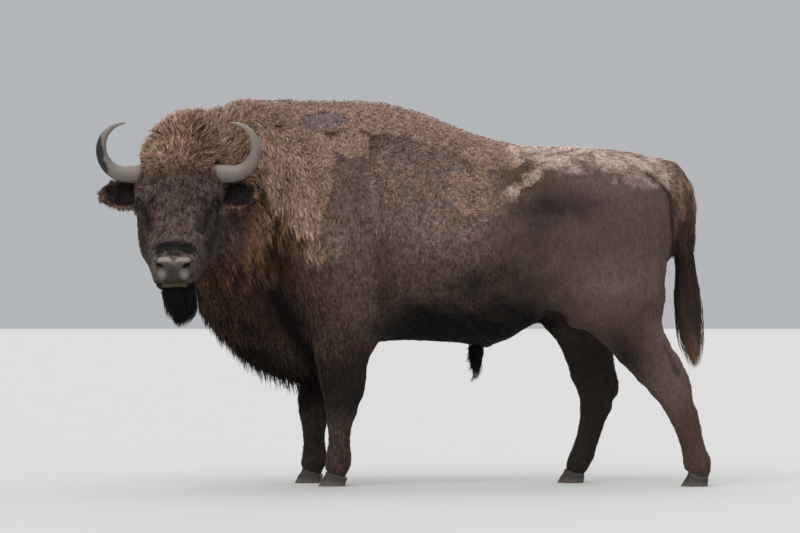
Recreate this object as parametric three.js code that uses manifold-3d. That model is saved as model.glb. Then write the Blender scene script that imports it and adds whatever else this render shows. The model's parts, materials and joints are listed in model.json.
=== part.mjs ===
/**
 * European bison bull, standing on level forelegs with one hind leg back and its head turned to its left.
 *
 * Units are millimetres. +Z is up, the animal faces -X and its left side faces -Y. The origin is on the
 * ground under the middle of the animal's box. The solids reach out to the tips of the coat.
 *
 * The body is one smooth field: a trunk and neck lofted along X, a head lofted along its own face, legs and a
 * tail lofted along their lengths, and muscles as ellipsoids, all blended. Each named part is the field's
 * surface inside a region bounded by thin plane cuts.
 */
import * as THREE from "three";
import Module from "manifold-3d";
import { mergeVertices } from "three/addons/utils/BufferGeometryUtils.js";

const wasm = await Module();
wasm.setup();

/* ---------- driving dimensions ---------- */

const GAP = 0.4; // between parts that touch
const FAR = 6000; // larger than the animal

// Facet sizes along X, Y and Z: longer where a part runs straight.
const TRUNK_CELL = [118, 74, 94];
const NECK_CELL = [84, 66, 90];
const HEAD_CELL = [65, 68, 66]; // along u, v and w of the head
const MUZZLE_CELL = [29, 29, 28];
const LEG_CELL = [50, 50, 76];
const FOOT_CELL = [34, 34, 54];
const HOOF_CELL = [48, 31, 48];
const TAIL_CELL = [40, 40, 66];

// Sections of the trunk and neck, from the nape to the rump. waist is the share of the height where the
// section is widest, crest and keel are the superellipse exponents above and below it, and bend moves it to
// the animal's left.
const TRUNK = [
  { at: -1010, top: 1640, bottom: 1060, half: 118, waist: 0.5, crest: 1.9, keel: 2.0, bend: 150 },
  { at: -900, top: 1678, bottom: 770, half: 160, waist: 0.48, crest: 1.75, keel: 1.7, bend: 95 },
  { at: -780, top: 1726, bottom: 628, half: 192, waist: 0.46, crest: 1.6, keel: 1.55, bend: 45 },
  { at: -650, top: 1748, bottom: 512, half: 214, waist: 0.45, crest: 1.5, keel: 1.5, bend: 12 },
  { at: -500, top: 1748, bottom: 470, half: 232, waist: 0.45, crest: 1.45, keel: 1.6, bend: 0 },
  { at: -315, top: 1742, bottom: 540, half: 252, waist: 0.42, crest: 1.45, keel: 1.9, bend: 0 },
  { at: -90, top: 1726, bottom: 640, half: 272, waist: 0.4, crest: 1.55, keel: 2.2, bend: 0 },
  { at: 90, top: 1676, bottom: 644, half: 288, waist: 0.4, crest: 1.65, keel: 2.3, bend: 0 },
  { at: 270, top: 1598, bottom: 634, half: 298, waist: 0.42, crest: 1.8, keel: 2.3, bend: 0 },
  { at: 470, top: 1536, bottom: 648, half: 290, waist: 0.45, crest: 1.95, keel: 2.2, bend: 0 },
  { at: 660, top: 1518, bottom: 765, half: 250, waist: 0.5, crest: 2.15, keel: 2.1, bend: 0 },
  { at: 840, top: 1514, bottom: 880, half: 226, waist: 0.6, crest: 2.2, keel: 2.0, bend: 0 },
  { at: 1040, top: 1490, bottom: 960, half: 190, waist: 0.62, crest: 2.1, keel: 2.0, bend: 0 },
  { at: 1200, top: 1425, bottom: 1010, half: 130, waist: 0.6, crest: 2.0, keel: 2.0, bend: 0 },
];
const TRUNK_FRONT = -1045;
const TRUNK_REAR = 1215;
const TRUNK_END_ROUNDING = 150;

// Muscles and bones that show, on both sides: centre, half sizes, lean of the long axis backwards in degrees.
const MUSCLES = [
  { at: [-300, 150, 1140], half: [185, 122, 330], lean: 17, blend: 90 }, // shoulder blade
  { at: [-225, 178, 860], half: [165, 98, 235], lean: -6, blend: 60 }, // upper arm
  { at: [-430, 140, 900], half: [110, 105, 170], lean: -20, blend: 80 }, // point of the shoulder
  { at: [725, 190, 1412], half: [85, 46, 52], lean: 0, blend: 90 }, // hip bone
  { at: [925, 118, 1160], half: [262, 128, 300], lean: -14, blend: 110 }, // haunch
  { at: [1010, 135, 915], half: [175, 108, 250], lean: -20, blend: 90 }, // thigh
  { at: [1150, 78, 1180], half: [82, 82, 210], lean: 4, blend: 60 }, // buttock
  { at: [735, 165, 800], half: [110, 70, 130], lean: 28, blend: 90 }, // stifle and flank fold
];
const SHEATH = { at: [385, 0, 662], half: [92, 42, 50], lean: 0, blend: 60 };
const SCROTUM = { at: [905, 0, 770], half: [58, 64, 96], lean: 0, blend: 40 };

// Legs, from the top down: height, centre, half length fore and aft, half width.
const LEGS = {
  foreleg_left: {
    side: -1,
    hoof: { x: -305, y: 186, turn: -6 },
    sections: [
      { at: 800, x: -205, y: 190, long: 150, wide: 88 },
      { at: 655, x: -243, y: 198, long: 152, wide: 88 },
      { at: 581, x: -259, y: 198, long: 129, wide: 80 },
      { at: 442, x: -254, y: 195, long: 101, wide: 66 },
      { at: 353, x: -259, y: 192, long: 84, wide: 62 },
      { at: 269, x: -270, y: 190, long: 61, wide: 50 },
      { at: 188, x: -272, y: 188, long: 50, wide: 44 },
      { at: 118, x: -274, y: 186, long: 55, wide: 54 },
      { at: 40, x: -292, y: 186, long: 58, wide: 56 },
    ],
  },
  foreleg_right: {
    side: 1,
    hoof: { x: -418, y: 182, turn: 6 },
    sections: [
      { at: 800, x: -225, y: 190, long: 150, wide: 88 },
      { at: 655, x: -285, y: 198, long: 146, wide: 88 },
      { at: 560, x: -330, y: 198, long: 122, wide: 78 },
      { at: 442, x: -368, y: 194, long: 100, wide: 66 },
      { at: 345, x: -385, y: 190, long: 84, wide: 62 },
      { at: 262, x: -389, y: 187, long: 60, wide: 50 },
      { at: 188, x: -389, y: 185, long: 50, wide: 44 },
      { at: 118, x: -389, y: 182, long: 55, wide: 54 },
      { at: 40, x: -405, y: 182, long: 58, wide: 56 },
    ],
  },
  hindleg_left: {
    side: -1,
    hoof: { x: 1312, y: 200, turn: -8 },
    sections: [
      { at: 880, x: 985, y: 150, long: 178, wide: 112 },
      { at: 740, x: 972, y: 170, long: 182, wide: 108 },
      { at: 679, x: 1022, y: 178, long: 168, wide: 100 },
      { at: 617, x: 1073, y: 184, long: 152, wide: 90 },
      { at: 554, x: 1121, y: 190, long: 140, wide: 78 },
      { at: 460, x: 1186, y: 196, long: 121, wide: 64 },
      { at: 402, x: 1220, y: 198, long: 99, wide: 58 },
      { at: 331, x: 1254, y: 200, long: 78, wide: 52 },
      { at: 264, x: 1280, y: 200, long: 65, wide: 46 },
      { at: 206, x: 1299, y: 200, long: 56, wide: 44 },
      { at: 130, x: 1318, y: 200, long: 56, wide: 52 },
      { at: 40, x: 1322, y: 200, long: 58, wide: 55 },
    ],
  },
  hindleg_right: {
    side: 1,
    hoof: { x: 772, y: 200, turn: 8 },
    sections: [
      { at: 880, x: 925, y: 150, long: 178, wide: 112 },
      { at: 740, x: 858, y: 170, long: 168, wide: 106 },
      { at: 650, x: 845, y: 182, long: 134, wide: 94 },
      { at: 587, x: 850, y: 190, long: 118, wide: 84 },
      { at: 524, x: 864, y: 195, long: 113, wide: 74 },
      { at: 428, x: 890, y: 198, long: 108, wide: 62 },
      { at: 365, x: 893, y: 200, long: 90, wide: 56 },
      { at: 288, x: 875, y: 200, long: 69, wide: 50 },
      { at: 215, x: 856, y: 200, long: 59, wide: 45 },
      { at: 147, x: 832, y: 200, long: 57, wide: 50 },
      { at: 85, x: 808, y: 200, long: 57, wide: 54 },
      { at: 40, x: 790, y: 200, long: 58, wide: 55 },
    ],
  },
};
const LEG_BLEND = 70;

const HOOF = { long: 64, wide: 28.5, tall: 165, slope: 0.42, apart: 31, splay: 3, crown: 58, rake: 0.28 };
const DIGIT = { half: [50, 32, 42], up: 84, back: 30, lean: 20 };
const DEWCLAW = { half: [22, 17, 27], up: 118, back: 52, apart: 26, lean: -12 };
const TOE_BLEND = 16;
const LEG_END_ROUNDING = 40;

// The head's own frame, from between the horns: u to its left, v down the face, w out of the forehead.
const HEAD_ORIGIN = [-985, -330, 1390];
const HEAD_YAW = 2.5; // short of facing straight left
const FACE_TILT = 35; // of the face line from upright
const HEAD = [
  { at: -150, front: -70, back: -200, half: 88, brow: 0.6, box: 2.0 },
  { at: -90, front: -6, back: -270, half: 156, brow: 0.62, box: 2.6 },
  { at: 0, front: 16, back: -305, half: 188, brow: 0.66, box: 3.3 },
  { at: 70, front: 20, back: -325, half: 192, brow: 0.66, box: 3.2 },
  { at: 130, front: 10, back: -335, half: 189, brow: 0.62, box: 2.7 },
  { at: 200, front: -8, back: -328, half: 178, brow: 0.54, box: 2.4 },
  { at: 280, front: -21, back: -304, half: 158, brow: 0.52, box: 2.4 },
  { at: 350, front: -26, back: -278, half: 138, brow: 0.52, box: 2.5 },
  { at: 410, front: -25, back: -246, half: 119, brow: 0.52, box: 2.6 },
  { at: 450, front: -27, back: -228, half: 106, brow: 0.56, box: 2.8 },
  { at: 485, front: -37, back: -214, half: 98, brow: 0.56, box: 2.8 },
  { at: 512, front: -54, back: -198, half: 90, brow: 0.54, box: 2.7 },
];
const HEAD_END = { poll: -185, nose: 518, rounding: 40 };
const HEAD_FEATURES = [
  { at: [150, 112, -82], half: [38, 46, 42], lean: 0, blend: 36 }, // orbit
  { at: [54, 478, -62], half: [38, 36, 40], lean: 0, blend: 26 }, // wing of the nostril
  { at: [100, 210, -215], half: [66, 120, 96], lean: 0, blend: 60 }, // cheek
];
const CROWN = { at: [-975, -245, 1432], half: [200, 140, 226], lean: 0, blend: 60 };
const NAPE_TUFT = { at: [-925, -160, 1562], half: [112, 120, 120], lean: 0, blend: 80 };
const CHIN = { at: [0, 462, -184], half: [56, 46, 30], lean: 0, blend: 26 };
const HEAD_BLEND = 80;

const EYE = { at: [163, 120, -68], radius: 22, opening: 15 };

// A horn runs straight out from root to stub, and then round in half a circle of radius bow, up and in.
const HORN = {
  root: 120,
  stub: 231,
  up: 1,
  bow: 113,
  back: 40,
  forward: 46,
  base: 44,
  thin: 0.96, // share of the thickness that goes on the way to the tip
  power: 1.25,
  fullness: 0.85,
  sides: 10,
  steps: 12,
};

const EAR = {
  at: [142, 20, -128],
  length: 220,
  wide: 75,
  thick: 13,
  cup: 36,
  droop: 8,
  forward: 9,
  sides: 10,
  steps: 8,
};

const TAIL = [
  { x: 1130, z: 1440, r: 52 },
  { x: 1215, z: 1396, r: 48 },
  { x: 1268, z: 1320, r: 44 },
  { x: 1288, z: 1220, r: 42 },
  { x: 1284, z: 1100, r: 38 },
  { x: 1284, z: 1020, r: 40 },
];
const TAIL_BLEND = 40;
const TAIL_SEAM = 30; // blend between the tail's own pieces

// Hanging hair, from the top down: height, centre, half depth fore and aft, half width.
const SWITCH = [
  { at: 1034, x: 1284, y: 0, long: 40, wide: 34 },
  { at: 960, x: 1286, y: 0, long: 48, wide: 38 },
  { at: 860, x: 1291, y: 0, long: 60, wide: 45 },
  { at: 760, x: 1298, y: 0, long: 68, wide: 50 },
  { at: 660, x: 1306, y: 0, long: 61, wide: 46 },
  { at: 575, x: 1317, y: 0, long: 42, wide: 32 },
  { at: 515, x: 1326, y: 0, long: 15, wide: 12 },
];
const BEARD = [
  { at: 935, x: -988, y: -478, long: 60, wide: 52 },
  { at: 895, x: -982, y: -482, long: 74, wide: 62 },
  { at: 850, x: -974, y: -486, long: 82, wide: 66 },
  { at: 800, x: -970, y: -490, long: 79, wide: 62 },
  { at: 750, x: -967, y: -492, long: 60, wide: 46 },
  { at: 705, x: -965, y: -493, long: 24, wide: 20 },
];
const SHEATH_TUFT = [
  { at: 640, x: 345, y: 0, long: 34, wide: 22 },
  { at: 600, x: 340, y: 0, long: 38, wide: 24 },
  { at: 555, x: 334, y: 0, long: 35, wide: 22 },
  { at: 505, x: 328, y: 0, long: 26, wide: 16 },
  { at: 455, x: 324, y: 0, long: 9, wide: 7 },
];
const HAIR_SIDES = { switch: 12, beard: 12, sheath: 8 };

// Boxes that the surfaces are made in; those of the head and muzzle are in the head's frame.
const BOXES = {
  trunk: { low: [-900, -480, 380], high: [1420, 480, 1840] },
  neck: { low: [-1330, -800, 380], high: [-360, 420, 1860] },
  head: { low: [-420, -500, -560], high: [420, 560, 420] },
  muzzle: { low: [-180, 300, -330], high: [180, 640, 60] },
  dock: { low: [1080, -200, 940], high: [1420, 200, 1560] },
};
const LEG_BOX = { front: 260, back: 280, side: 170, half: 190, bottom: -60, top: 960, aboveKnee: 120 };
const TOE_BOX = { low: [-140, -90, -90], high: [190, 90, 190] };

// Cuts between the parts: a point on each plane and a normal towards the named side.
const CUTS = {
  neck: { at: [-640, 0, 1150], towards: [-1, 0, 0.22] },
  head_side: { at: [-752, 0, 1200], towards: [-1, 0, 0] },
  head_back: { at: [-960, -118, 1250], towards: [-0.1, -1, 0.25] },
  muzzle: 392, // down the face
  foreleg_top: { at: [-250, 0, 640], towards: [0, 0, -1] },
  foreleg_inside: 98, // distance from the middle plane
  foreleg_front: { left: -425, right: -500 },
  foreleg_back: 120,
  hindleg_top: { at: [700, 0, 778], towards: [-0.22, 0, -1] },
  hindleg_inside: 40,
  hindleg_front: 640,
  knee: { fore: 318, hind: 352 },
  tail: { at: [1211, 0, 1400], towards: [1, 0, 0.1] },
  tail_side: 64,
  switch: 1034,
  beard: { at: [-1000, -520, 870], towards: [0, 0.28, -1] },
  sheath: { at: [330, 0, 628], towards: [0, 0, -1] },
};

/* ---------- materials ---------- */

const finish = (color, roughness) => new THREE.MeshStandardMaterial({ color, roughness, metalness: 0 });
const COAT = finish(0x4f3f38, 0.9);
const MANE = finish(0x5a4330, 0.95);
const FACE = finish(0x4a3f3c, 0.85);
const DARK_HAIR = finish(0x1f1b1d, 0.8);
const KERATIN = finish(0x7d766e, 0.45);
const HOOF_HORN = finish(0x2f2a27, 0.5);
const EYEBALL = finish(0x1a1210, 0.08);

/* ---------- field building ---------- */

const radians = (degrees) => (degrees * Math.PI) / 180;

/** A smooth curve through one key of a list of sections, held constant past its ends. */
function curveOf(sections, key) {
  const sorted = [...sections].sort((a, b) => a.at - b.at);
  const xs = sorted.map((s) => s.at);
  const ys = sorted.map((s) => s[key]);
  const last = xs.length - 1;
  const slope = xs.map((_, i) => {
    const a = Math.max(i - 1, 0);
    const b = Math.min(i + 1, last);
    return (ys[b] - ys[a]) / (xs[b] - xs[a]);
  });
  return (t) => {
    if (t <= xs[0]) return ys[0];
    if (t >= xs[last]) return ys[last];
    let i = 0;
    while (t > xs[i + 1]) i += 1;
    const h = xs[i + 1] - xs[i];
    const s = (t - xs[i]) / h;
    const rise = (1 - s) * (1 - s);
    return (
      ys[i] * (1 + 2 * s) * rise +
      slope[i] * h * s * rise +
      ys[i + 1] * s * s * (3 - 2 * s) +
      slope[i + 1] * h * s * s * (s - 1)
    );
  };
}

const curvesOf = (sections, keys) => Object.fromEntries(keys.map((k) => [k, curveOf(sections, k)]));

function union(a, b, blend) {
  const h = Math.max(blend - Math.abs(a - b), 0);
  return Math.min(a, b) - (h * h) / (4 * blend);
}

const intersection = (a, b, blend) => -union(-a, -b, blend);

/** About the distance of (a, b) outside the superellipse of these half sizes. */
function superellipse(a, b, halfA, halfB, power) {
  const u = Math.abs(a) / halfA;
  const v = Math.abs(b) / halfB;
  const sum = Math.pow(u, power) + Math.pow(v, power);
  if (sum < 1e-9) return -Math.min(halfA, halfB);
  const r = Math.pow(sum, 1 / power);
  const scale = Math.pow(r, 1 - power);
  const du = (scale * Math.pow(u, power - 1)) / halfA;
  const dv = (scale * Math.pow(v, power - 1)) / halfB;
  return (r - 1) / Math.max(Math.hypot(du, dv), 1 / (3 * Math.max(halfA, halfB)));
}

/** About the distance outside an ellipsoid whose third axis leans towards +first by lean degrees. */
function ellipsoid({ at, half, lean = 0 }) {
  const cos = Math.cos(radians(lean));
  const sin = Math.sin(radians(lean));
  return (x, y, z) => {
    const dx = x - at[0];
    const dz = z - at[2];
    const p = [(dx * cos - dz * sin) / half[0], (y - at[1]) / half[1], (dx * sin + dz * cos) / half[2]];
    const k0 = Math.hypot(...p);
    const k1 = Math.hypot(p[0] / half[0], p[1] / half[1], p[2] / half[2]);
    return k1 < 1e-9 ? -Math.min(...half) : (k0 * (k0 - 1)) / k1;
  };
}

/** A tapered round segment between two ends {x, y, z, r}. */
function taper(a, b) {
  const d = [b.x - a.x, b.y - a.y, b.z - a.z];
  const length2 = d[0] * d[0] + d[1] * d[1] + d[2] * d[2];
  return (x, y, z) => {
    const p = [x - a.x, y - a.y, z - a.z];
    const t = Math.min(Math.max((p[0] * d[0] + p[1] * d[1] + p[2] * d[2]) / length2, 0), 1);
    const r = a.r + (b.r - a.r) * t;
    return Math.hypot(p[0] - d[0] * t, p[1] - d[1] * t, p[2] - d[2] * t) - r;
  };
}

function trunkField() {
  const c = curvesOf(TRUNK, ["top", "bottom", "half", "waist", "crest", "keel", "bend"]);
  return (x, y, z) => {
    const top = c.top(x);
    const bottom = c.bottom(x);
    const middle = bottom + (top - bottom) * c.waist(x);
    const above = z > middle;
    const tall = above ? top - middle : middle - bottom;
    const power = above ? c.crest(x) : c.keel(x);
    const d = superellipse(y + c.bend(x), z - middle, c.half(x), tall, power);
    const ends = Math.max(TRUNK_FRONT - x, x - TRUNK_REAR);
    return intersection(d, ends, TRUNK_END_ROUNDING);
  };
}

function legField({ side, hoof, sections }) {
  const c = curvesOf(sections, ["x", "y", "long", "wide"]);
  const highest = sections[0].at;
  const lowest = sections[sections.length - 1].at;
  const extras = [-1, 1].flatMap((toe) => [
    ellipsoid({
      at: [hoof.x + DIGIT.back, side * hoof.y + toe * HOOF.apart, DIGIT.up],
      half: DIGIT.half,
      lean: DIGIT.lean,
    }),
    ellipsoid({
      at: [c.x(DEWCLAW.up) + DEWCLAW.back, side * c.y(DEWCLAW.up) + toe * DEWCLAW.apart, DEWCLAW.up],
      half: DEWCLAW.half,
      lean: DEWCLAW.lean,
    }),
  ]);
  return (x, y, z) => {
    const d = superellipse(x - c.x(z), y - side * c.y(z), c.long(z), c.wide(z), 2);
    const shaft = intersection(d, Math.max(z - highest, lowest - z), LEG_END_ROUNDING);
    return extras.reduce((sum, extra) => union(sum, extra(x, y, z), TOE_BLEND), shaft);
  };
}

/* The head's frame as a matrix, and points taken in and out of it. */
const facing = [-Math.sin(radians(HEAD_YAW)), -Math.cos(radians(HEAD_YAW)), 0];
const tiltCos = Math.cos(radians(FACE_TILT));
const tiltSin = Math.sin(radians(FACE_TILT));
const AXES = {
  u: [-facing[1], facing[0], 0],
  v: [tiltSin * facing[0], tiltSin * facing[1], -tiltCos],
  w: [tiltCos * facing[0], tiltCos * facing[1], tiltSin],
};
const dot = (a, b) => a[0] * b[0] + a[1] * b[1] + a[2] * b[2];

function intoHead(x, y, z) {
  const p = [x - HEAD_ORIGIN[0], y - HEAD_ORIGIN[1], z - HEAD_ORIGIN[2]];
  return [dot(p, AXES.u), dot(p, AXES.v), dot(p, AXES.w)];
}

const outOfHead = (u, v, w) =>
  HEAD_ORIGIN.map((o, i) => o + u * AXES.u[i] + v * AXES.v[i] + w * AXES.w[i]);

/** A field in head coordinates with every feature on both sides of the face. */
const mirrored = (features) =>
  features.map((f) => ({ field: ellipsoid(f), blend: f.blend })).map(({ field, blend }) => ({
    blend,
    field: (u, v, w) => field(Math.abs(u), v, w),
  }));

function headField() {
  const c = curvesOf(HEAD, ["front", "back", "half", "brow", "box"]);
  const features = mirrored(HEAD_FEATURES);
  const chin = ellipsoid(CHIN);
  return (x, y, z) => {
    const [u, v, w] = intoHead(x, y, z);
    const front = c.front(v);
    const back = c.back(v);
    const middle = back + (front - back) * c.brow(v);
    const deep = w > middle ? front - middle : middle - back;
    let d = superellipse(u, w - middle, c.half(v), deep, c.box(v));
    d = intersection(d, Math.max(HEAD_END.poll - v, v - HEAD_END.nose), HEAD_END.rounding);
    for (const { field, blend } of features) d = union(d, field(u, v, w), blend);
    return union(d, chin(u, v, w), CHIN.blend);
  };
}

const tailField = () => {
  const pieces = TAIL.slice(1).map((end, i) => taper({ y: 0, ...TAIL[i] }, { y: 0, ...end }));
  return (x, y, z) => pieces.reduce((sum, piece) => union(sum, piece(x, y, z), TAIL_SEAM), FAR);
};

const trunk = trunkField();
const tail = tailField();
const head = headField();
const legs = Object.fromEntries(Object.entries(LEGS).map(([name, leg]) => [name, legField(leg)]));
const muscles = MUSCLES.map((m) => ({ field: ellipsoid(m), blend: m.blend }));
const middles = [SHEATH, SCROTUM, CROWN, NAPE_TUFT].map((m) => ({ field: ellipsoid(m), blend: m.blend }));

/** The whole coated body without the head, tail, hooves, ears and horns. */
function torso(x, y, z) {
  let d = trunk(x, y, z);
  for (const { field, blend } of muscles) d = union(d, field(x, Math.abs(y), z), blend);
  for (const { field, blend } of middles) d = union(d, field(x, y, z), blend);
  for (const leg of Object.values(legs)) d = union(d, leg(x, y, z), LEG_BLEND);
  return d;
}

const body = (x, y, z) => union(torso(x, y, z), head(x, y, z), HEAD_BLEND);
const bodyInHead = (u, v, w) => body(...outOfHead(u, v, w));
const hindBody = (x, y, z) => union(torso(x, y, z), tail(x, y, z), TAIL_BLEND);

/* ---------- surfaces ---------- */

/**
 * The triangle mesh where a field is 0 inside a box, by surface nets, its vertices moved onto the field. A
 * row of vertices falls in the middle of the box, so that a ridge there keeps its height.
 */
function surfaceOf(wanted, { low, high }, cell) {
  const middle = low.map((l, i) => (l + high[i]) / 2);
  const n = low.map((l, i) => 2 * Math.ceil((high[i] - l) / cell[i] / 2 + 0.5));
  const start = middle.map((m, i) => m - (cell[i] * (n[i] - 1)) / 2);
  const reach = n.map((count, i) => (cell[i] * (count - 1)) / 2 - cell[i]);
  const field = (x, y, z) =>
    Math.max(
      wanted(x, y, z),
      Math.abs(x - middle[0]) - reach[0],
      Math.abs(y - middle[1]) - reach[1],
      Math.abs(z - middle[2]) - reach[2],
    );
  const index = (i, j, k) => i + n[0] * (j + n[1] * k);
  const values = new Float64Array(n[0] * n[1] * n[2]);
  for (let k = 0; k < n[2]; k += 1)
    for (let j = 0; j < n[1]; j += 1)
      for (let i = 0; i < n[0]; i += 1)
        values[index(i, j, k)] = field(...[i, j, k].map((c, axis) => start[axis] + c * cell[axis]));

  const positions = [];
  const made = new Map();
  const vertexIn = (cellAt) => {
    const key = index(...cellAt);
    if (made.has(key)) return made.get(key);
    const sum = [0, 0, 0];
    let crossings = 0;
    for (let axis = 0; axis < 3; axis += 1) {
      for (let corner = 0; corner < 4; corner += 1) {
        const a = [...cellAt];
        a[(axis + 1) % 3] += corner & 1;
        a[(axis + 2) % 3] += corner >> 1;
        const b = [...a];
        b[axis] += 1;
        const va = values[index(...a)];
        const vb = values[index(...b)];
        if (va < 0 === vb < 0) continue;
        a[axis] += va / (va - vb);
        crossings += 1;
        a.forEach((x, i) => (sum[i] += x));
      }
    }
    const point = sum.map((x, i) => start[i] + (x / crossings) * cell[i]);
    made.set(key, positions.length / 3);
    positions.push(...settled(field, point, Math.min(...cell)));
    return made.get(key);
  };

  const triangles = [];
  const at = [0, 0, 0];
  for (at[2] = 1; at[2] < n[2] - 1; at[2] += 1)
    for (at[1] = 1; at[1] < n[1] - 1; at[1] += 1)
      for (at[0] = 1; at[0] < n[0] - 1; at[0] += 1)
        for (let axis = 0; axis < 3; axis += 1) {
          const next = [...at];
          next[axis] += 1;
          const inside = values[index(...at)] < 0;
          if (inside === values[index(...next)] < 0) continue;
          const p = (axis + 1) % 3;
          const q = (axis + 2) % 3;
          const ring = [[-1, -1], [0, -1], [0, 0], [-1, 0]].map(([dp, dq]) => {
            const c = [...at];
            c[p] += dp;
            c[q] += dq;
            return vertexIn(c);
          });
          if (!inside) ring.reverse();
          triangles.push(...halves(positions, ring));
        }
  const geometry = new THREE.BufferGeometry();
  geometry.setAttribute("position", new THREE.Float32BufferAttribute(positions, 3));
  geometry.setIndex(triangles);
  return geometry;
}

/** A point moved onto the surface where the field is 0, by at most about a cell. */
function settled(field, from, cell) {
  const e = 0.5;
  const p = [...from];
  for (let step = 0; step < 3; step += 1) {
    const f = field(...p);
    const slope = [0, 1, 2].map((i) => {
      const q = [...p];
      q[i] += e;
      return (field(...q) - f) / e;
    });
    const steep = Math.max(dot(slope, slope), 0.05);
    slope.forEach((s, i) => (p[i] -= (f * s) / steep));
  }
  const moved = Math.hypot(p[0] - from[0], p[1] - from[1], p[2] - from[2]);
  return moved < 0.8 * cell ? p : from;
}

/** A quad as two triangles, cut along its shorter diagonal. */
function halves(positions, [a, b, c, d]) {
  const apart = (i, j) =>
    Math.hypot(...[0, 1, 2].map((k) => positions[3 * i + k] - positions[3 * j + k]));
  return apart(a, c) < apart(b, d) ? [a, b, c, a, c, d] : [b, c, d, b, d, a];
}

/* ---------- solids ---------- */

function solidOf(geometry) {
  const bare = geometry.clone();
  bare.deleteAttribute("normal");
  bare.deleteAttribute("uv");
  const merged = mergeVertices(bare, 1e-3);
  return new wasm.Manifold(
    new wasm.Mesh({
      numProp: 3,
      vertProperties: merged.attributes.position.array,
      triVerts: new Uint32Array(merged.index.array),
    }),
  );
}

/** The space on the side of a plane that the normal points to, cut back by half a gap. */
function beyond(at, towards, gap = GAP / 2) {
  const normal = new THREE.Vector3(...towards).normalize();
  const turn = new THREE.Quaternion().setFromUnitVectors(new THREE.Vector3(0, 0, 1), normal);
  const box = new THREE.BoxGeometry(2 * FAR, 2 * FAR, FAR).translate(0, 0, FAR / 2 + gap);
  box.applyQuaternion(turn).translate(...at);
  return solidOf(box);
}

const where = (...spaces) => spaces.reduce((sum, space) => sum.intersect(space));

/** The largest piece of a solid, without the slivers that cuts leave. */
function mainPiece(solid) {
  const pieces = solid.decompose();
  return pieces.reduce((best, p) => (p.volume() > best.volume() ? p : best));
}

const animal = new THREE.Group();

function addPart(name, solid, material) {
  const mesh = mainPiece(solid).getMesh();
  const geometry = new THREE.BufferGeometry();
  geometry.setAttribute("position", new THREE.BufferAttribute(new Float32Array(mesh.vertProperties), 3));
  geometry.setIndex(new THREE.BufferAttribute(mesh.triVerts, 1));
  geometry.computeVertexNormals();
  const part = new THREE.Mesh(geometry, material);
  part.name = name;
  animal.add(part);
}

/* ---------- horns, eyes, ears ---------- */

/** The centre of a horn at t from 0 at its root to 1 at its tip, in head coordinates. */
function hornCentre(side, t) {
  const stub = HORN.stub - HORN.root;
  const along = t * (stub + Math.PI * HORN.bow);
  const turn = Math.max(along - stub, 0) / HORN.bow;
  const out = HORN.root + Math.min(along, stub) + HORN.bow * Math.sin(turn);
  const up = HORN.up + HORN.bow * (1 - Math.cos(turn));
  const forward = HORN.forward * Math.sin(turn / 2) ** 2 - HORN.back;
  const place = [0, 1, 2].map((i) => HEAD_ORIGIN[i] + side * out * AXES.u[i] + forward * facing[i]);
  place[2] += up;
  return new THREE.Vector3(...place);
}

/** A closed solid through a row of rings of points, with a hub at each end. */
function tube(rings) {
  const sides = rings[0].length;
  const hubs = [rings[0], rings[rings.length - 1]].map((ring) =>
    ring.reduce((sum, p) => sum.addScaledVector(p, 1 / sides), new THREE.Vector3()),
  );
  const points = [...rings.flat(), ...hubs];
  const first = rings.length * sides;
  const last = (rings.length - 1) * sides;
  const triangles = [];
  for (let s = 0; s < sides; s += 1) {
    const next = (s + 1) % sides;
    for (let i = 0; i < last; i += sides)
      triangles.push(i + s, i + next, i + next + sides, i + s, i + next + sides, i + s + sides);
    triangles.push(next, s, first, last + s, last + next, first + 1);
  }
  const geometry = new THREE.BufferGeometry().setFromPoints(points);
  geometry.setIndex(triangles);
  const solid = solidOf(geometry);
  return solid.volume() > 0 ? solid : solidOf(geometry.setIndex(triangles.reverse()));
}

/** A horn, grown by a margin. */
function horn(side, margin = 0) {
  const { sides, steps } = HORN;
  const step = 0.002;
  const rings = [];
  for (let i = 0; i <= steps; i += 1) {
    const t = i / steps;
    const centre = hornCentre(side, i === 0 ? -margin / 100 : t);
    const ahead = hornCentre(side, Math.min(t + step, 1)).sub(hornCentre(side, Math.max(t - step, 0)));
    const direction = ahead.normalize();
    const across = new THREE.Vector3(...facing).cross(direction).normalize();
    const upright = direction.clone().cross(across);
    const radius = HORN.base * Math.pow(1 - HORN.thin * Math.pow(t, HORN.power), HORN.fullness) + margin;
    const pointAt = (turn) =>
      centre
        .clone()
        .addScaledVector(across, radius * Math.cos(turn))
        .addScaledVector(upright, radius * Math.sin(turn));
    rings.push(ringOf(sides, pointAt));
  }
  return tube(rings);
}

const ringOf = (sides, pointAt) =>
  Array.from({ length: sides }, (_, s) => pointAt((2 * Math.PI * s) / sides));

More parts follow.
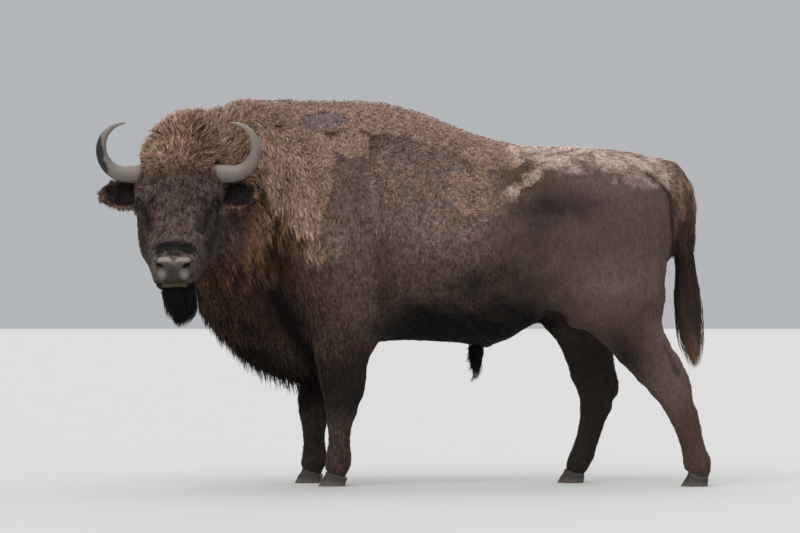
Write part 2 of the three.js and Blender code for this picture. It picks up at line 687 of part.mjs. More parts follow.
/** An ear as a leaf-shaped cup that opens forwards, with its length out from the side of the head. */
function ear(side, margin = 0) {
  const [droop, forward] = [radians(EAR.droop), radians(EAR.forward)];
  const along = new THREE.Vector3(side, Math.tan(droop), Math.tan(forward)).normalize();
  const open = new THREE.Vector3(side * 0.1, 0.35, 1).projectOnPlane(along).normalize();
  const wide = along.clone().cross(open);
  const rings = [];
  for (let i = 0; i <= EAR.steps; i += 1) {
    const t = i / EAR.steps;
    const leaf = Math.sin(Math.PI * (0.12 + 0.86 * Math.pow(t, 1.05))) ** 0.5;
    const half = EAR.wide * leaf;
    const thick = EAR.thick * (0.35 + 0.65 * leaf) + 1.5 * margin;
    const bowl = EAR.cup * leaf * (1 - 0.25 * t);
    rings.push(ringOf(EAR.sides, (turn) => {
      const p = along.clone().multiplyScalar(EAR.length * t + margin * (2 * t - 1));
      const across = (half + margin) * Math.cos(turn);
      p.addScaledVector(wide, across);
      p.addScaledVector(open, thick * Math.sin(turn) + bowl * ((across / half) ** 2 - 0.5));
      return new THREE.Vector3(...outOfHead(side * EAR.at[0] + p.x, EAR.at[1] + p.y, EAR.at[2] + p.z));
    }));
  }
  return tube(rings);
}

/** An eyeball, grown by a margin and moved outwards. */
function eyeball(side, margin = 0, outwards = 0) {
  const [u, v, w] = EYE.at;
  const ball = new THREE.SphereGeometry(EYE.radius + margin, 10, 8);
  ball.translate(...outOfHead(side * (u + outwards), v, w + outwards / 2));
  return solidOf(ball);
}

/* ---------- parts ---------- */

const neckSpace = beyond(CUTS.neck.at, CUTS.neck.towards);
const headSpace = where(
  beyond(CUTS.head_side.at, CUTS.head_side.towards),
  beyond(CUTS.head_back.at, CUTS.head_back.towards),
);
const headAndGap = where(
  beyond(CUTS.head_side.at, CUTS.head_side.towards, -GAP / 2),
  beyond(CUTS.head_back.at, CUTS.head_back.towards, -GAP / 2),
);
const restOfBody = beyond(CUTS.neck.at, CUTS.neck.towards.map((x) => -x));
const tailSpace = (gap) =>
  where(
    beyond(CUTS.tail.at, CUTS.tail.towards, gap),
    beyond([0, -CUTS.tail_side, 0], [0, 1, 0], gap),
    beyond([0, CUTS.tail_side, 0], [0, -1, 0], gap),
  );
const backwards = (v) => v.map((x) => -x);

/** The space of one leg, below its top cut. */
function legSpace(name, gap) {
  const { side } = LEGS[name];
  if (name.startsWith("foreleg"))
    return where(
      beyond(CUTS.foreleg_top.at, CUTS.foreleg_top.towards, gap),
      beyond([0, side * CUTS.foreleg_inside, 0], [0, side, 0], gap),
      beyond([CUTS.foreleg_front[side < 0 ? "left" : "right"], 0, 0], [1, 0, 0], gap),
      beyond([CUTS.foreleg_back, 0, 0], [-1, 0, 0], gap),
    );
  return where(
    beyond(CUTS.hindleg_top.at, CUTS.hindleg_top.towards, gap),
    beyond([0, side * CUTS.hindleg_inside, 0], [0, side, 0], gap),
    beyond([CUTS.hindleg_front, 0, 0], [1, 0, 0], gap),
  );
}

function addTrunk() {
  let solid = solidOf(surfaceOf(hindBody, BOXES.trunk, TRUNK_CELL)).intersect(restOfBody);
  for (const name of Object.keys(LEGS)) solid = solid.subtract(legSpace(name, -GAP / 2));
  solid = solid.subtract(tailSpace(-GAP / 2));
  solid = solid.subtract(beyond(CUTS.sheath.at, CUTS.sheath.towards, 0).intersect(sheathTuft(GAP)));
  addPart("trunk", solid, COAT);
}

/** The body's surface within a box in head coordinates. */
function headSolid(box, cell) {
  const geometry = surfaceOf(bodyInHead, box, cell);
  geometry.setIndex(Array.from(geometry.index.array).reverse()); // the head's frame is left-handed
  const axes = [AXES.u, AXES.v, AXES.w].map((a) => new THREE.Vector3(...a));
  const frame = new THREE.Matrix4().makeBasis(...axes);
  return solidOf(geometry.applyMatrix4(frame).translate(...HEAD_ORIGIN));
}

function addNeckAndHead() {
  const neck = solidOf(surfaceOf(body, BOXES.neck, NECK_CELL));
  addPart("neck", neck.intersect(neckSpace).subtract(headAndGap).subtract(ear(1, GAP)), MANE);

  const edge = outOfHead(0, CUTS.muzzle, 0);
  const muzzle = headSolid(BOXES.muzzle, MUZZLE_CELL).intersect(beyond(edge, AXES.v));
  let solid = headSolid(BOXES.head, HEAD_CELL).intersect(headSpace);
  solid = solid.intersect(beyond(edge, backwards(AXES.v)));
  for (const [side, hand] of [[1, "left"], [-1, "right"]]) {
    const openings = [horn(side, GAP), ear(side, GAP), eyeball(side, GAP), eyeball(side, GAP, EYE.opening)];
    for (const opening of openings) solid = solid.subtract(opening);
    addPart("horn_" + hand, horn(side), KERATIN);
    addPart("eye_" + hand, eyeball(side), EYEBALL);
    addPart("ear_" + hand, ear(side).subtract(horn(side, GAP)), DARK_HAIR);
  }
  const under = beyond(CUTS.beard.at, CUTS.beard.towards, -GAP / 2);
  addPart("head", solid.subtract(under.intersect(beard(GAP))), FACE);
  addPart("muzzle", muzzle.subtract(under.intersect(beard(GAP))), FACE);
  addPart("beard", beard(0).intersect(beyond(CUTS.beard.at, CUTS.beard.towards, GAP / 2)), DARK_HAIR);
}

/** A hanging mass of hair through its sections, grown by a margin. */
const hairMass = (sections, sides, margin) =>
  tube(
    sections.map(({ at, x, y, long, wide }) =>
      ringOf(sides, (turn) =>
        new THREE.Vector3(x + (long + margin) * Math.cos(turn), y + (wide + margin) * Math.sin(turn), at),
      ),
    ),
  );

const beard = (margin) => hairMass(BEARD, HAIR_SIDES.beard, margin);
const sheathTuft = (margin) => hairMass(SHEATH_TUFT, HAIR_SIDES.sheath, margin);

function addSheathTuft() {
  const below = beyond(CUTS.sheath.at, CUTS.sheath.towards, GAP);
  addPart("sheath_tuft", sheathTuft(0).intersect(below), DARK_HAIR);
}

function addTail() {
  const dock = solidOf(surfaceOf(hindBody, BOXES.dock, TAIL_CELL));
  const above = beyond([0, 0, CUTS.switch], [0, 0, 1]);
  addPart("tail_dock", dock.intersect(tailSpace(GAP / 2)).intersect(above), MANE);

  const below = beyond([0, 0, CUTS.switch], [0, 0, -1]);
  addPart("tail_switch", hairMass(SWITCH, HAIR_SIDES.switch, 0).intersect(below), DARK_HAIR);
}

/** One toe's hoof: a sloping shell, flat on the ground and cut by the line of the crown. */
function toe({ x, y, turn }, side, inOrOut) {
  const spin = radians(turn * side * -1 + inOrOut * HOOF.splay);
  const [cos, sin] = [Math.cos(spin), Math.sin(spin)];
  const centre = [x, side * y + inOrOut * HOOF.apart];
  const field = (px, py, pz) => {
    const dx = px - centre[0] - HOOF.slope * pz;
    const dy = py - centre[1];
    const along = dx * cos + dy * sin;
    const across = dy * cos - dx * sin;
    const p = [along / HOOF.long, across / HOOF.wide, (pz + 15) / HOOF.tall];
    const k0 = Math.hypot(...p);
    const k1 = Math.hypot(p[0] / HOOF.long, p[1] / HOOF.wide, p[2] / HOOF.tall);
    return (k0 * (k0 - 1)) / Math.max(k1, 1e-6);
  };
  const around = (corner) => [centre[0] + corner[0], centre[1] + corner[1], corner[2]];
  const box = { low: around(TOE_BOX.low), high: around(TOE_BOX.high) };
  return solidOf(surfaceOf(field, box, HOOF_CELL)).intersect(beyond([0, 0, 0], [0, 0, 1], 0));
}

const crownOf = ({ x }) => ({ at: [x, 0, HOOF.crown], towards: [HOOF.rake, 0, 1] });

function addLeg(name) {
  const { side, hoof } = LEGS[name];
  const xs = LEGS[name].sections.map((s) => s.x);
  const { front, back, half, bottom, top, aboveKnee } = LEG_BOX;
  const low = [Math.min(...xs, hoof.x) - front, side * LEG_BOX.side - half, bottom];
  const high = [Math.max(...xs, hoof.x) + back, side * LEG_BOX.side + half, top];
  const kneeHeight = name.startsWith("foreleg") ? CUTS.knee.fore : CUTS.knee.hind;
  const space = legSpace(name, GAP / 2);
  const crown = crownOf(hoof);

  const upper = solidOf(surfaceOf(torso, { low, high }, LEG_CELL));
  addPart(name + "_upper", upper.intersect(space).intersect(beyond([0, 0, kneeHeight], [0, 0, 1])), COAT);

  const shortHigh = [high[0], high[1], kneeHeight + aboveKnee];
  const lower = solidOf(surfaceOf(torso, { low, high: shortHigh }, FOOT_CELL));
  const shank = lower.intersect(space).intersect(beyond([0, 0, kneeHeight], [0, 0, -1]));
  addPart(name + "_lower", shank.intersect(beyond(crown.at, crown.towards)), COAT);

  for (const [inOrOut, word] of [[-side, "inner"], [side, "outer"]]) {
    const nail = toe(hoof, side, inOrOut).intersect(beyond(crown.at, backwards(crown.towards)));
    addPart(name.replace("leg", "hoof") + "_" + word, nail, HOOF_HORN);
  }
}

addTrunk();
addNeckAndHead();
addSheathTuft();
addTail();
Object.keys(LEGS).forEach(addLeg);

// The origin is on the ground under the middle of the animal's box.
const box = new THREE.Box3().setFromObject(animal);
const middle = box.getCenter(new THREE.Vector3());
animal.position.set(-middle.x, -middle.y, -box.min.z);

const model = new THREE.Group();
model.add(animal);

export default model;
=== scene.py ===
"""A wisent bull as a life-size museum model, with its skin, coat, horns, hooves, eyes and a plain studio.

Lengths are in metres. The bull faces -X with its left side towards -Y, and its head is turned to that side.
The skin is remade from the solids of the flesh, drawn in by the depth of the coat, and the coat is grown on
it as thin locks of solid mesh.
"""

import itertools
import json
import logging
import math
from collections.abc import Callable
from dataclasses import dataclass, field
from enum import Enum

import bmesh
import bpy
import numpy as np
from bmesh.types import BMEdge, BMesh, BMVert
from bpy.types import Material, Mesh, NodeSocket, Object
from mathutils import Matrix, Vector
from mathutils.bvhtree import BVHTree

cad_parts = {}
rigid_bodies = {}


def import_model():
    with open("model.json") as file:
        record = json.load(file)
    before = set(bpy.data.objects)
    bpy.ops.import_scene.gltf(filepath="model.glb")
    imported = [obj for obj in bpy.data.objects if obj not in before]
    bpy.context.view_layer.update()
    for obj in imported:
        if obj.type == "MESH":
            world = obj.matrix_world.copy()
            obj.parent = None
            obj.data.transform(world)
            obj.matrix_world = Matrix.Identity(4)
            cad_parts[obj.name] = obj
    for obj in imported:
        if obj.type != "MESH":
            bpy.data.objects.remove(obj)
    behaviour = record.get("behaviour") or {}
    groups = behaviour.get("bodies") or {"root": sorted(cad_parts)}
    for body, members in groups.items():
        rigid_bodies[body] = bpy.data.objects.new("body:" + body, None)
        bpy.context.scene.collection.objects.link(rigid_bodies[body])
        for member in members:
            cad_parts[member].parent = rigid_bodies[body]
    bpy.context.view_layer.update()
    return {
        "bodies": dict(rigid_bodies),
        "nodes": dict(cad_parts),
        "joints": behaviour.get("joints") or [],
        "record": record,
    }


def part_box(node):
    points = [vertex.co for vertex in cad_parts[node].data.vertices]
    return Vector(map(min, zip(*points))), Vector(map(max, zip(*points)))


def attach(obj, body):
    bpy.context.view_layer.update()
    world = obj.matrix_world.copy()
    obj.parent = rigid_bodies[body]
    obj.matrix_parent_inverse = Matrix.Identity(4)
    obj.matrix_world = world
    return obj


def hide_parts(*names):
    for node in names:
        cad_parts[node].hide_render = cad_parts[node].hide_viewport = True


LOG = logging.getLogger("wisent")
UP = np.array((0.0, 0.0, 1.0))
Array = np.ndarray
WELD = 1e-5
# Odd numbers that spread the cells of a grid over whole numbers.
HASH_PRIMES, HASH_MIXER = (73856093, 19349663, 83492791, 39916801), 1274126177
CELL_STRIDES, BAND_STRIDE = (1, 40009, 1600360081), 7919


# ---- small tools


def linear(red: float, green: float, blue: float) -> tuple[float, float, float]:
    """A display colour of 0 to 255 as scene-linear shares."""

    def one(c: float) -> float:
        """One channel, straight near black and curved above."""
        return (c / 255 / 12.92) if c < 10 else ((c / 255 + 0.055) / 1.055) ** 2.4

    return one(red), one(green), one(blue)


def smooth(x: Array, low: float, high: float) -> Array:
    """0 below low and 1 above high, with a soft step between; high may be the smaller one."""
    t = np.clip((x - low) / (high - low), 0.0, 1.0)
    return t * t * (3.0 - 2.0 * t)


def unit(v: Array) -> Array:
    """Vectors brought to length one."""
    return v / np.maximum(np.linalg.norm(v, axis=-1, keepdims=True), 1e-12)


def bump_of(distance: Array, width: float) -> Array:
    """A rounded bump of height one that fades out over a width."""
    return np.exp(-((distance / width) ** 2))


def cell_codes(cell: Array, band: Array) -> Array:
    """One number for each cell of its size band's grid, the same for all the places in it."""
    return cell @ np.array(CELL_STRIDES) + band * BAND_STRIDE


@dataclass(frozen=True)
class Noise:
    """Smooth random values in space that are the same on every run.

    Attributes:
        seed: Picks the pattern.
    """

    seed: int

    # How far each finer layer is shifted, and the gain that brings the sum near -1 to 1.
    SHIFT, GAIN = 17.3, 1.25

    def _lattice(self, cell: Array) -> Array:
        """A fixed random value from -1 to 1 for each lattice cell."""
        x, y, z, own = HASH_PRIMES
        n = cell[..., 0] * x ^ cell[..., 1] * y ^ cell[..., 2] * z ^ self.seed * own
        n = (n ^ (n >> 13)) * HASH_MIXER
        n = (n ^ (n >> 16)) & 0xFFFF
        return n / 32767.5 - 1.0

    def at(self, points: Array, size: float, octaves: int = 1) -> Array:
        """Values at points.

        Args:
            points: Places, one a row.
            size: Size of the largest blotches.
            octaves: Number of finer layers, each at half the size and strength.

        Returns:
            One value a point, mostly within -1 to 1.
        """
        total = np.zeros(len(points))
        strength = 1.0
        for layer in range(octaves):
            q = points / size + self.SHIFT * layer
            low = np.floor(q)
            f = q - low
            f = f * f * (3.0 - 2.0 * f)
            low = low.astype(np.int64)
            for corner in itertools.product((0, 1), repeat=3):
                weight = np.prod(np.where(np.array(corner) == 1, f, 1.0 - f), axis=1)
                total += strength * weight * self._lattice(low + np.array(corner))
            size, strength = size / 2, strength / 2
        return total * self.GAIN


# ---- places on the animal


@dataclass(frozen=True)
class Head:
    """The head's own axes: u to its left, v down the face, w out of the forehead.

    Attributes:
        origin: The point between the horns from which the axes run.
        axes: The three directions, one a row.
    """

    origin: Array
    axes: Array

    EYE = np.array((0.163, 0.120, -0.068))
    TILT = math.radians(35)

    @classmethod
    def from_eyes(cls, left: Array, right: Array) -> "Head":
        """Finds the head from the middles of its two eyes."""
        u = unit(left - right)
        facing = np.array((u[1], -u[0], 0.0))
        v = math.sin(cls.TILT) * facing - math.cos(cls.TILT) * UP
        w = math.cos(cls.TILT) * facing + math.sin(cls.TILT) * UP
        origin = (left + right) / 2 - cls.EYE[1] * v - cls.EYE[2] * w
        return cls(origin, np.array((u, v, w)))

    def into(self, points: Array) -> Array:
        """Points in the head's axes."""
        return (points - self.origin) @ self.axes.T

    def out(self, local: Array) -> Array:
        """Points given in the head's axes, in the animal's frame."""
        return self.origin + np.asarray(local) @ self.axes

    def eye(self, hand: int) -> Array:
        """The middle of one eye, in the animal's frame."""
        return self.out(Head.EYE * (hand, 1, 1))

    def turned(self, local: Array) -> Array:
        """Directions given in the head's axes, in the animal's frame."""
        return np.asarray(local) @ self.axes


class Space(Enum):
    """The axes in which a zone is given."""

    BODY = "x back, y out from the middle plane, z up"
    HEAD = "u out from the middle of the face, v down it, w out of it"


@dataclass(frozen=True)
class Zone:
    """A soft-edged ellipsoid, the same on both sides of the animal.

    Attributes:
        at: Its middle.
        half: Its half sizes.
        soft: Share of its size over which the edge fades.
        space: The axes that at and half are in.
    """

    at: tuple[float, float, float]
    half: tuple[float, float, float]
    soft: float = 0.3
    space: Space = Space.BODY


@dataclass(frozen=True)
class Places:
    """Points with all that the zones need to know of them.

    Attributes:
        world: The points.
        side: The points with y as the distance from the body's middle plane.
        face: The points in the head's axes, with u as the distance from the face's middle.
        local: The points in the head's axes.
        hand: -1 on the animal's left side and 1 on its right.
    """

    world: Array
    side: Array
    face: Array
    local: Array
    hand: Array

    def share(self, zone: Zone) -> Array:
        """How far each point is in a zone, from 0 to 1."""
        own = self.side if zone.space is Space.BODY else self.face
        distance = np.linalg.norm((own - np.array(zone.at)) / np.array(zone.half), axis=1)
        return smooth(distance, 1.0 + zone.soft, 1.0 - zone.soft)

    def from_eye(self) -> Array:
        """Distance from the nearer eye."""
        return np.linalg.norm(self.face - Head.EYE, axis=1)

    def flat(self) -> Array:
        """The points pressed onto the body's middle plane."""
        return np.stack([self.side[:, 0], 0 * self.side[:, 1], self.side[:, 2]], axis=1)

    def on_head(self) -> Array:
        """How surely each point is on the head and not on the neck or body."""
        share = smooth(self.local[:, 2], -0.36, -0.26) * smooth(self.face[:, 0], 0.30, 0.23)
        return share * (self.side[:, 0] < -0.70) * smooth(self.local[:, 1], -0.24, -0.20)


@dataclass(frozen=True)
class Survey:
    """Where the animal's middle plane and head are.

    Attributes:
        middle: The y of the body's middle plane.
        head: The head's axes.
    """

    middle: float
    head: Head

    def of(self, points: Array) -> Places:
        """The points with their place on the body and on the head."""
        side = points.copy()
        side[:, 1] = np.abs(points[:, 1] - self.middle)
        local = self.head.into(points)
        face = local.copy()
        face[:, 0] = np.abs(local[:, 0])
        return Places(points, side, face, local, np.sign(points[:, 1] - self.middle))


# The line of the back: x, and the height of the top of the coat there.
BACK_X = (-0.92, -0.67, -0.52, -0.335, -0.11, 0.07, 0.25, 0.45, 0.64, 0.82, 1.02, 1.18)
BACK_Z = (1.68, 1.748, 1.748, 1.742, 1.726, 1.676, 1.598, 1.536, 1.518, 1.514, 1.49, 1.425)
# How far straight below the head's origin the nose pad's top and the mouth are.
PAD_TOP, LIP_LINE = 0.3684, 0.4823
# The height of a hoof's top edge above its middle, and how steeply that edge falls to the back.
HOOF_TOP, HOOF_SLANT = 0.058, 0.28


def drop_of(local: Array) -> Array:
    """How far below the head's origin a point is, measured straight down."""
    return math.cos(Head.TILT) * local[:, 1] - math.sin(Head.TILT) * local[:, 2]


def distance_to(points: Array, start: tuple, end: tuple) -> Array:
    """Distance of points from the line between two ends."""
    a, b = np.array(start), np.array(end)
    t = np.clip((points - a) @ (b - a) / max(float((b - a) @ (b - a)), 1e-9), 0, 1)
    return np.linalg.norm(points - a - t[:, None] * (b - a), axis=1)


def middle_of(node: str) -> Array:
    """The middle of a solid's box."""
    low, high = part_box(node)
    return (np.array(low) + np.array(high)) / 2


def above_hoof(frame: dict, points: Array) -> Array:
    """How far above the slanting top edge of the nearest hoof each point is."""
    toes = np.array([middle_of(name) for name in frame["nodes"] if "hoof" in name])
    nearest = np.argmin(np.linalg.norm(points[:, None, :2] - toes[None, :, :2], axis=2), axis=1)
    return points[:, 2] - HOOF_TOP + HOOF_SLANT * (points[:, 0] - toes[nearest, 0])


# ---- markings


@dataclass(frozen=True)
class EarLeaf:
    """The leaf shape of an ear, to tell its hollow front, its rim and its back apart.

    Attributes:
        at: Where it leaves the head, in the head's axes.
        length: Its length.
        wide: Half its width.
        cup: Depth of its hollow.
        droop: How far it leans down the face.
        forward: How far it leans out of the face.
    """

    at: tuple[float, float, float] = (0.142, 0.020, -0.128)
    length: float = 0.220
    wide: float = 0.075
    cup: float = 0.036
    droop: float = math.radians(8)
    forward: float = math.radians(9)

    def axes(self, hand: int) -> tuple[Array, Array, Array]:
        """Its directions along, across and out of its hollow, in the head's axes."""
        along = unit(np.array((hand, math.tan(self.droop), math.tan(self.forward))))
        opens = np.array((hand * 0.1, 0.35, 1.0))
        opens = unit(opens - along * (opens @ along))
        return along, np.cross(along, opens), opens

    def split(self, local: Array, hand: int) -> tuple[Array, Array, Array]:
        """Where points lie on the ear.

        Args:
            local: Points in the head's axes.
            hand: 1 for the left ear and -1 for the right one.

        Returns:
            Whether they are on it, how near they are to its rim, and how far in front of its middle surface.
        """
        along, across, opens = self.axes(hand)
        rel = local - np.array(self.at) * (hand, 1, 1)
        t = rel @ along / self.length
        leaf = np.sqrt(np.maximum(np.sin(math.pi * (0.12 + 0.86 * np.clip(t, 0, 1) ** 1.05)), 0.01))
        ratio = np.abs(rel @ across) / (self.wide * leaf)
        front = rel @ opens - self.cup * leaf * (ratio**2 - 0.5)
        on = smooth(t, 0.20, 0.30) * (t < 1.12) * (ratio < 1.35) * (np.abs(front) < 0.045)
        rim = np.maximum(smooth(ratio, 0.62, 0.82), smooth(t, 0.80, 0.93))
        return on, rim, front


@dataclass(frozen=True)
class Markings:
    """The colours of skin and coat alike, as shares of each named colour over the animal.

    Attributes:
        ragged: Noise for the torn edges of the moulting wool.
        cloudy: Noise for soft variation.
    """

    ragged: Noise = Noise(3)
    cloudy: Noise = Noise(11)

    NAMES = ("mauve", "grey", "ginger", "umber", "wool", "pale", "bare", "black", "wet", "rim", "lip")

    WOOL = (
        Zone((-0.36, 0.0, 1.74), (0.42, 0.30, 0.14)),
        Zone((-0.49, 0.3, 1.44), (0.18, 0.5, 0.20)),
        Zone((-0.43, 0.3, 1.27), (0.09, 0.5, 0.13)),
        Zone((-0.24, 0.3, 1.53), (0.09, 0.5, 0.07)),
        Zone((0.30, 0.3, 1.315), (0.10, 0.5, 0.12), 0.9),
        Zone((-0.78, 0.2, 1.60), (0.20, 0.5, 0.17)),
    )
    SPECKLE = (
        Zone((0.277, 0.3, 1.31), (0.17, 0.5, 0.15)),
        Zone((0.02, 0.3, 1.42), (0.20, 0.5, 0.20)),
        Zone((0.07, 0.3, 1.22), (0.22, 0.5, 0.14), 0.5),
        Zone((-0.36, 0.3, 1.10), (0.10, 0.5, 0.10)),
    )
    FLAP = ((0.455, 0.0, 1.290), (0.635, 0.0, 1.425), 0.050)
    TAIL_HEAD = Zone((1.09, 0.15, 1.38), (0.13, 0.3, 0.06))
    NECK = Zone((-0.70, 0.2, 1.08), (0.20, 0.6, 0.50), 0.35)
    CROWN = Zone((0.0, -0.14, -0.10), (0.30, 0.20, 0.34), 0.40, Space.HEAD)
    BARE = Zone((-0.37, 0.12, 1.635), (0.11, 0.13, 0.040))
    MAUVE = (
        Zone((0.90, 0.2, 1.16), (0.36, 0.5, 0.32), 0.4),
        Zone((0.12, 0.3, 1.28), (0.34, 0.5, 0.30), 0.4),
        Zone((-0.24, 0.3, 1.25), (0.13, 0.5, 0.30), 0.5),
        Zone((1.18, 0.2, 0.55), (0.12, 0.4, 0.24), 0.5),
    )
    # Painted shade: dark patches in the hollows of the hip and flank, along the lower flank, on the gaskin
    # and behind the shoulder.
    SHADES = (
        Zone((0.62, 0.2, 1.245), (0.11, 0.4, 0.06), 0.8),
        Zone((0.640, 0.2, 1.12), (0.080, 0.4, 0.20), 1.0),
        Zone((0.73, 0.2, 1.22), (0.16, 0.4, 0.08), 1.0),
        Zone((0.44, 0.2, 0.88), (0.30, 0.4, 0.10), 0.6),
        Zone((1.00, 0.2, 0.58), (0.12, 0.4, 0.12), 0.8),
        Zone((-0.085, 0.2, 0.92), (0.035, 0.4, 0.22), 1.0),
    )
    # Painted shade along crease lines: the cleft before the foreleg, a groove behind the hock and where the
    # tail lies on the rump; each is two ends, a reach and a share of black.
    CREASES = (
        ((-0.60, 0.0, 0.90), (-0.42, 0.0, 0.60), 0.075, 1.0),
        ((-0.56, 0.0, 1.05), (-0.56, 0.0, 0.90), 0.070, 0.7),
        ((1.165, 0.0, 0.625), (1.212, 0.0, 0.51), 0.011, 0.55),
        ((1.075, 0.0, 1.405), (1.185, 0.0, 1.31), 0.009, 0.8),
        ((1.185, 0.0, 1.31), (1.205, 0.0, 1.10), 0.009, 0.9),
    )

    def at(self, p: Places) -> dict[str, Array]:
        """Shares of the named colours.

        Args:
            p: The places to colour.

        Returns:
            An array of shares, from 0 to 1, for each name in NAMES.
        """
        tear = self.ragged.at(p.world, 0.07, 4)
        fine = self.ragged.at(p.world + 5.0, 0.010, 2)
        cloud = self.cloudy.at(p.world, 0.22, 3)
        strand = self.cloudy.at(p.world * (1.0, 1.0, 0.22), 0.024, 2)
        x, _, z = p.side.T
        below = np.interp(x, BACK_X, BACK_Z) - z
        on_head = p.on_head()
        crown = p.share(self.CROWN) * smooth(p.face[:, 1], 0.05, -0.03) * (x < -0.70)

        wool = np.maximum.reduce([p.share(zone) for zone in self.WOOL])
        band = smooth(below, 0.20, 0.10) * smooth(x, -0.5, -0.3) * smooth(x, 0.60, 0.45)
        wool = np.maximum(wool, band)
        wool = smooth(wool + 0.34 * tear, 0.42, 0.58) * smooth(wool, 0.02, 0.15)
        speckle = np.maximum.reduce([p.share(zone) for zone in self.SPECKLE])
        curls = smooth(speckle + 1.3 * fine + 0.45 * tear, 0.95, 1.35) * smooth(speckle, 0.05, 0.3)
        wool = np.maximum(wool, 0.75 * curls)
        bare = smooth(p.share(self.BARE) + 0.55 * tear, 0.30, 0.75) * smooth(p.share(self.BARE), 0.02, 0.1)
        wool *= (1 - bare) * (1 - crown) * (1 - on_head) * (0.80 + 0.20 * np.clip(1 + 1.5 * cloud, 0, 1))

        parting = bump_of(distance_to(p.face, (-0.2, -0.13, -0.05), (0.2, -0.13, -0.05)), 0.030)
        drab = smooth(p.local[:, 0], 0.02, 0.12)
        crown_wool = crown * np.clip(0.32 + 0.9 * cloud + 0.6 * fine - 0.6 * parting + 0.3 * drab, 0, 0.85)
        wool = np.maximum(wool, crown_wool)
        ginger = crown * (0.95 - 0.75 * drab)
        neck = p.share(self.NECK) * (1 - on_head)
        gold = smooth(strand + 0.7 * (z - 1.05), -0.38, 0.34) * smooth(z, 0.72, 1.1)
        ginger = np.maximum(ginger, 0.88 * neck * gold)
        wool = np.maximum(wool, 0.45 * neck * gold * smooth(z, 1.0, 1.2) * np.clip(0.6 + fine, 0, 1))

        rump = smooth(below, 0.17, 0.07) * smooth(x, 0.42, 0.50)
        start, end, reach = self.FLAP
        flap = bump_of(distance_to(p.flat(), start, end), reach)
        flap = smooth(flap + 0.45 * tear, 0.50, 0.70) * smooth(flap, 0.05, 0.2)
        pale = 0.92 * smooth(rump + 0.45 * tear + 0.2 * fine, 0.45, 0.95) * smooth(rump, 0.0, 0.15)
        pale = np.maximum(pale, 0.8 * flap)
        pale = np.maximum(pale, 0.7 * smooth(p.share(self.TAIL_HEAD) + 0.3 * tear, 0.4, 0.8))
        pale *= smooth(x, 1.24, 1.16) * smooth(below, 0.30, 0.20)
        pale *= 0.40 + 0.60 * smooth(self.cloudy.at(p.world * (0.6, 1.0, 1.0) + 3.0, 0.032, 3), -0.40, 0.20)
        tail = smooth(x, 1.17, 1.22) * smooth(z, 1.15, 1.32)
        wool = np.maximum(wool, tail * np.clip(0.55 + 0.6 * strand, 0, 0.8))
        for hand in (-1, 1):
            on, rim, _ = EarLeaf().split(p.local, hand)
            wool = np.maximum(wool, on * rim * np.clip(0.50 + 0.6 * fine, 0, 0.8))

        mauve = np.maximum.reduce([p.share(zone) for zone in self.MAUVE])
        # Less mauve low on the far side, a painted shade that darkens it.
        mauve = np.clip(mauve * (0.9 + 0.4 * cloud), 0, 1) * (1 - 0.5 * smooth(p.hand, -0.5, 0.5) * (z < 0.7))
        grey = on_head * smooth(p.face[:, 1], -0.03, 0.06) * smooth(p.local[:, 2], -0.31, -0.23)
        grey *= np.clip(0.60 + 0.9 * fine + 0.5 * cloud, 0, 1)
        umber = np.maximum(neck, on_head * smooth(p.face[:, 1], 0.05, -0.02))
        wet, rim, lip = self.pad(p)
        black = np.maximum(self._body_black(p, cloud, fine, strand) * (1 - grey), self._face_black(p, fine))
        return {
            "mauve": mauve,
            "grey": grey,
            "ginger": np.clip(ginger, 0, 1),
            "umber": np.clip(umber * (1 - ginger), 0, 1),
            "wool": wool,
            "pale": np.clip(pale, 0, 1),
            "bare": np.maximum(bare, 0.40 * speckle * (1 - wool)),
            "black": np.clip(black, 0, 1) * (1 - wet),
            "wet": wet,
            "rim": rim,
            "lip": lip,
        }

    def _body_black(self, p: Places, cloud: Array, fine: Array, strand: Array) -> Array:
        """The black of the belly, the legs and the dewlap, with painted shade in hollows, along crease lines,
        on the far legs and under the belly.
        """
        x, y, z = p.side.T
        edge = 0.07 * cloud + 0.02 * fine
        # The belly's own dark hair, taken darker still as painted shade under the body.
        belly = smooth(z + edge, 0.89, 0.73) * smooth(x + edge, -0.20, 0.02) * smooth(x + edge, 0.82, 0.56)
        groin = smooth(z + edge, 1.0, 0.8) * smooth(y, 0.14, 0.04) * smooth(x, 0.5, 0.7)
        inside = 0.7 * smooth(y, 0.17, 0.12) * smooth(z, 0.72, 0.60) * smooth(z, 0.05, 0.2)
        forearm = 0.85 * smooth(z + edge, 0.76, 0.54) * smooth(x, -0.02, -0.12) * smooth(z, 0.22, 0.38)
        cannon = 0.35 * smooth(z, 0.34, 0.2) * smooth(x, 0.2, -0.1)
        dewlap = smooth(z + edge, 1.02, 0.58) * smooth(x, -0.35, -0.52) * np.clip(0.12 - 0.9 * strand, 0, 1)
        # Painted shade: the legs of the far side are made blacker than the near ones.
        far = smooth(p.hand, -0.5, 0.5)
        far_leg_shade = 0.72 * smooth(z, 0.75, 0.6) * far * smooth(x, 0.3, 0.5)
        far_fore_shade = 0.7 * smooth(z, 0.70, 0.5) * far * smooth(x, 0.0, -0.2)
        tail = smooth(x, 1.18, 1.22) * smooth(z, 0.4, 0.45) * smooth(y, 0.12, 0.08)
        tail *= 0.80 * np.clip(smooth(z, 1.30, 0.96) - 0.5 * strand, 0, 1)
        neck = p.share(self.NECK) * np.clip(0.06 - 0.75 * strand, 0, 0.55) * (1 - p.on_head())
        flat = p.flat()
        crease_shade = [share * bump_of(distance_to(flat, a, b), reach) for a, b, reach, share in self.CREASES]
        painted_shades = [p.share(zone) * np.clip(0.58 + 0.5 * cloud, 0, 0.8) for zone in self.SHADES]
        legs = (inside, forearm, cannon, far_leg_shade, far_fore_shade)
        return np.clip(np.maximum.reduce((belly, groin, dewlap, tail, neck, *legs, *crease_shade, *painted_shades)), 0, 1)

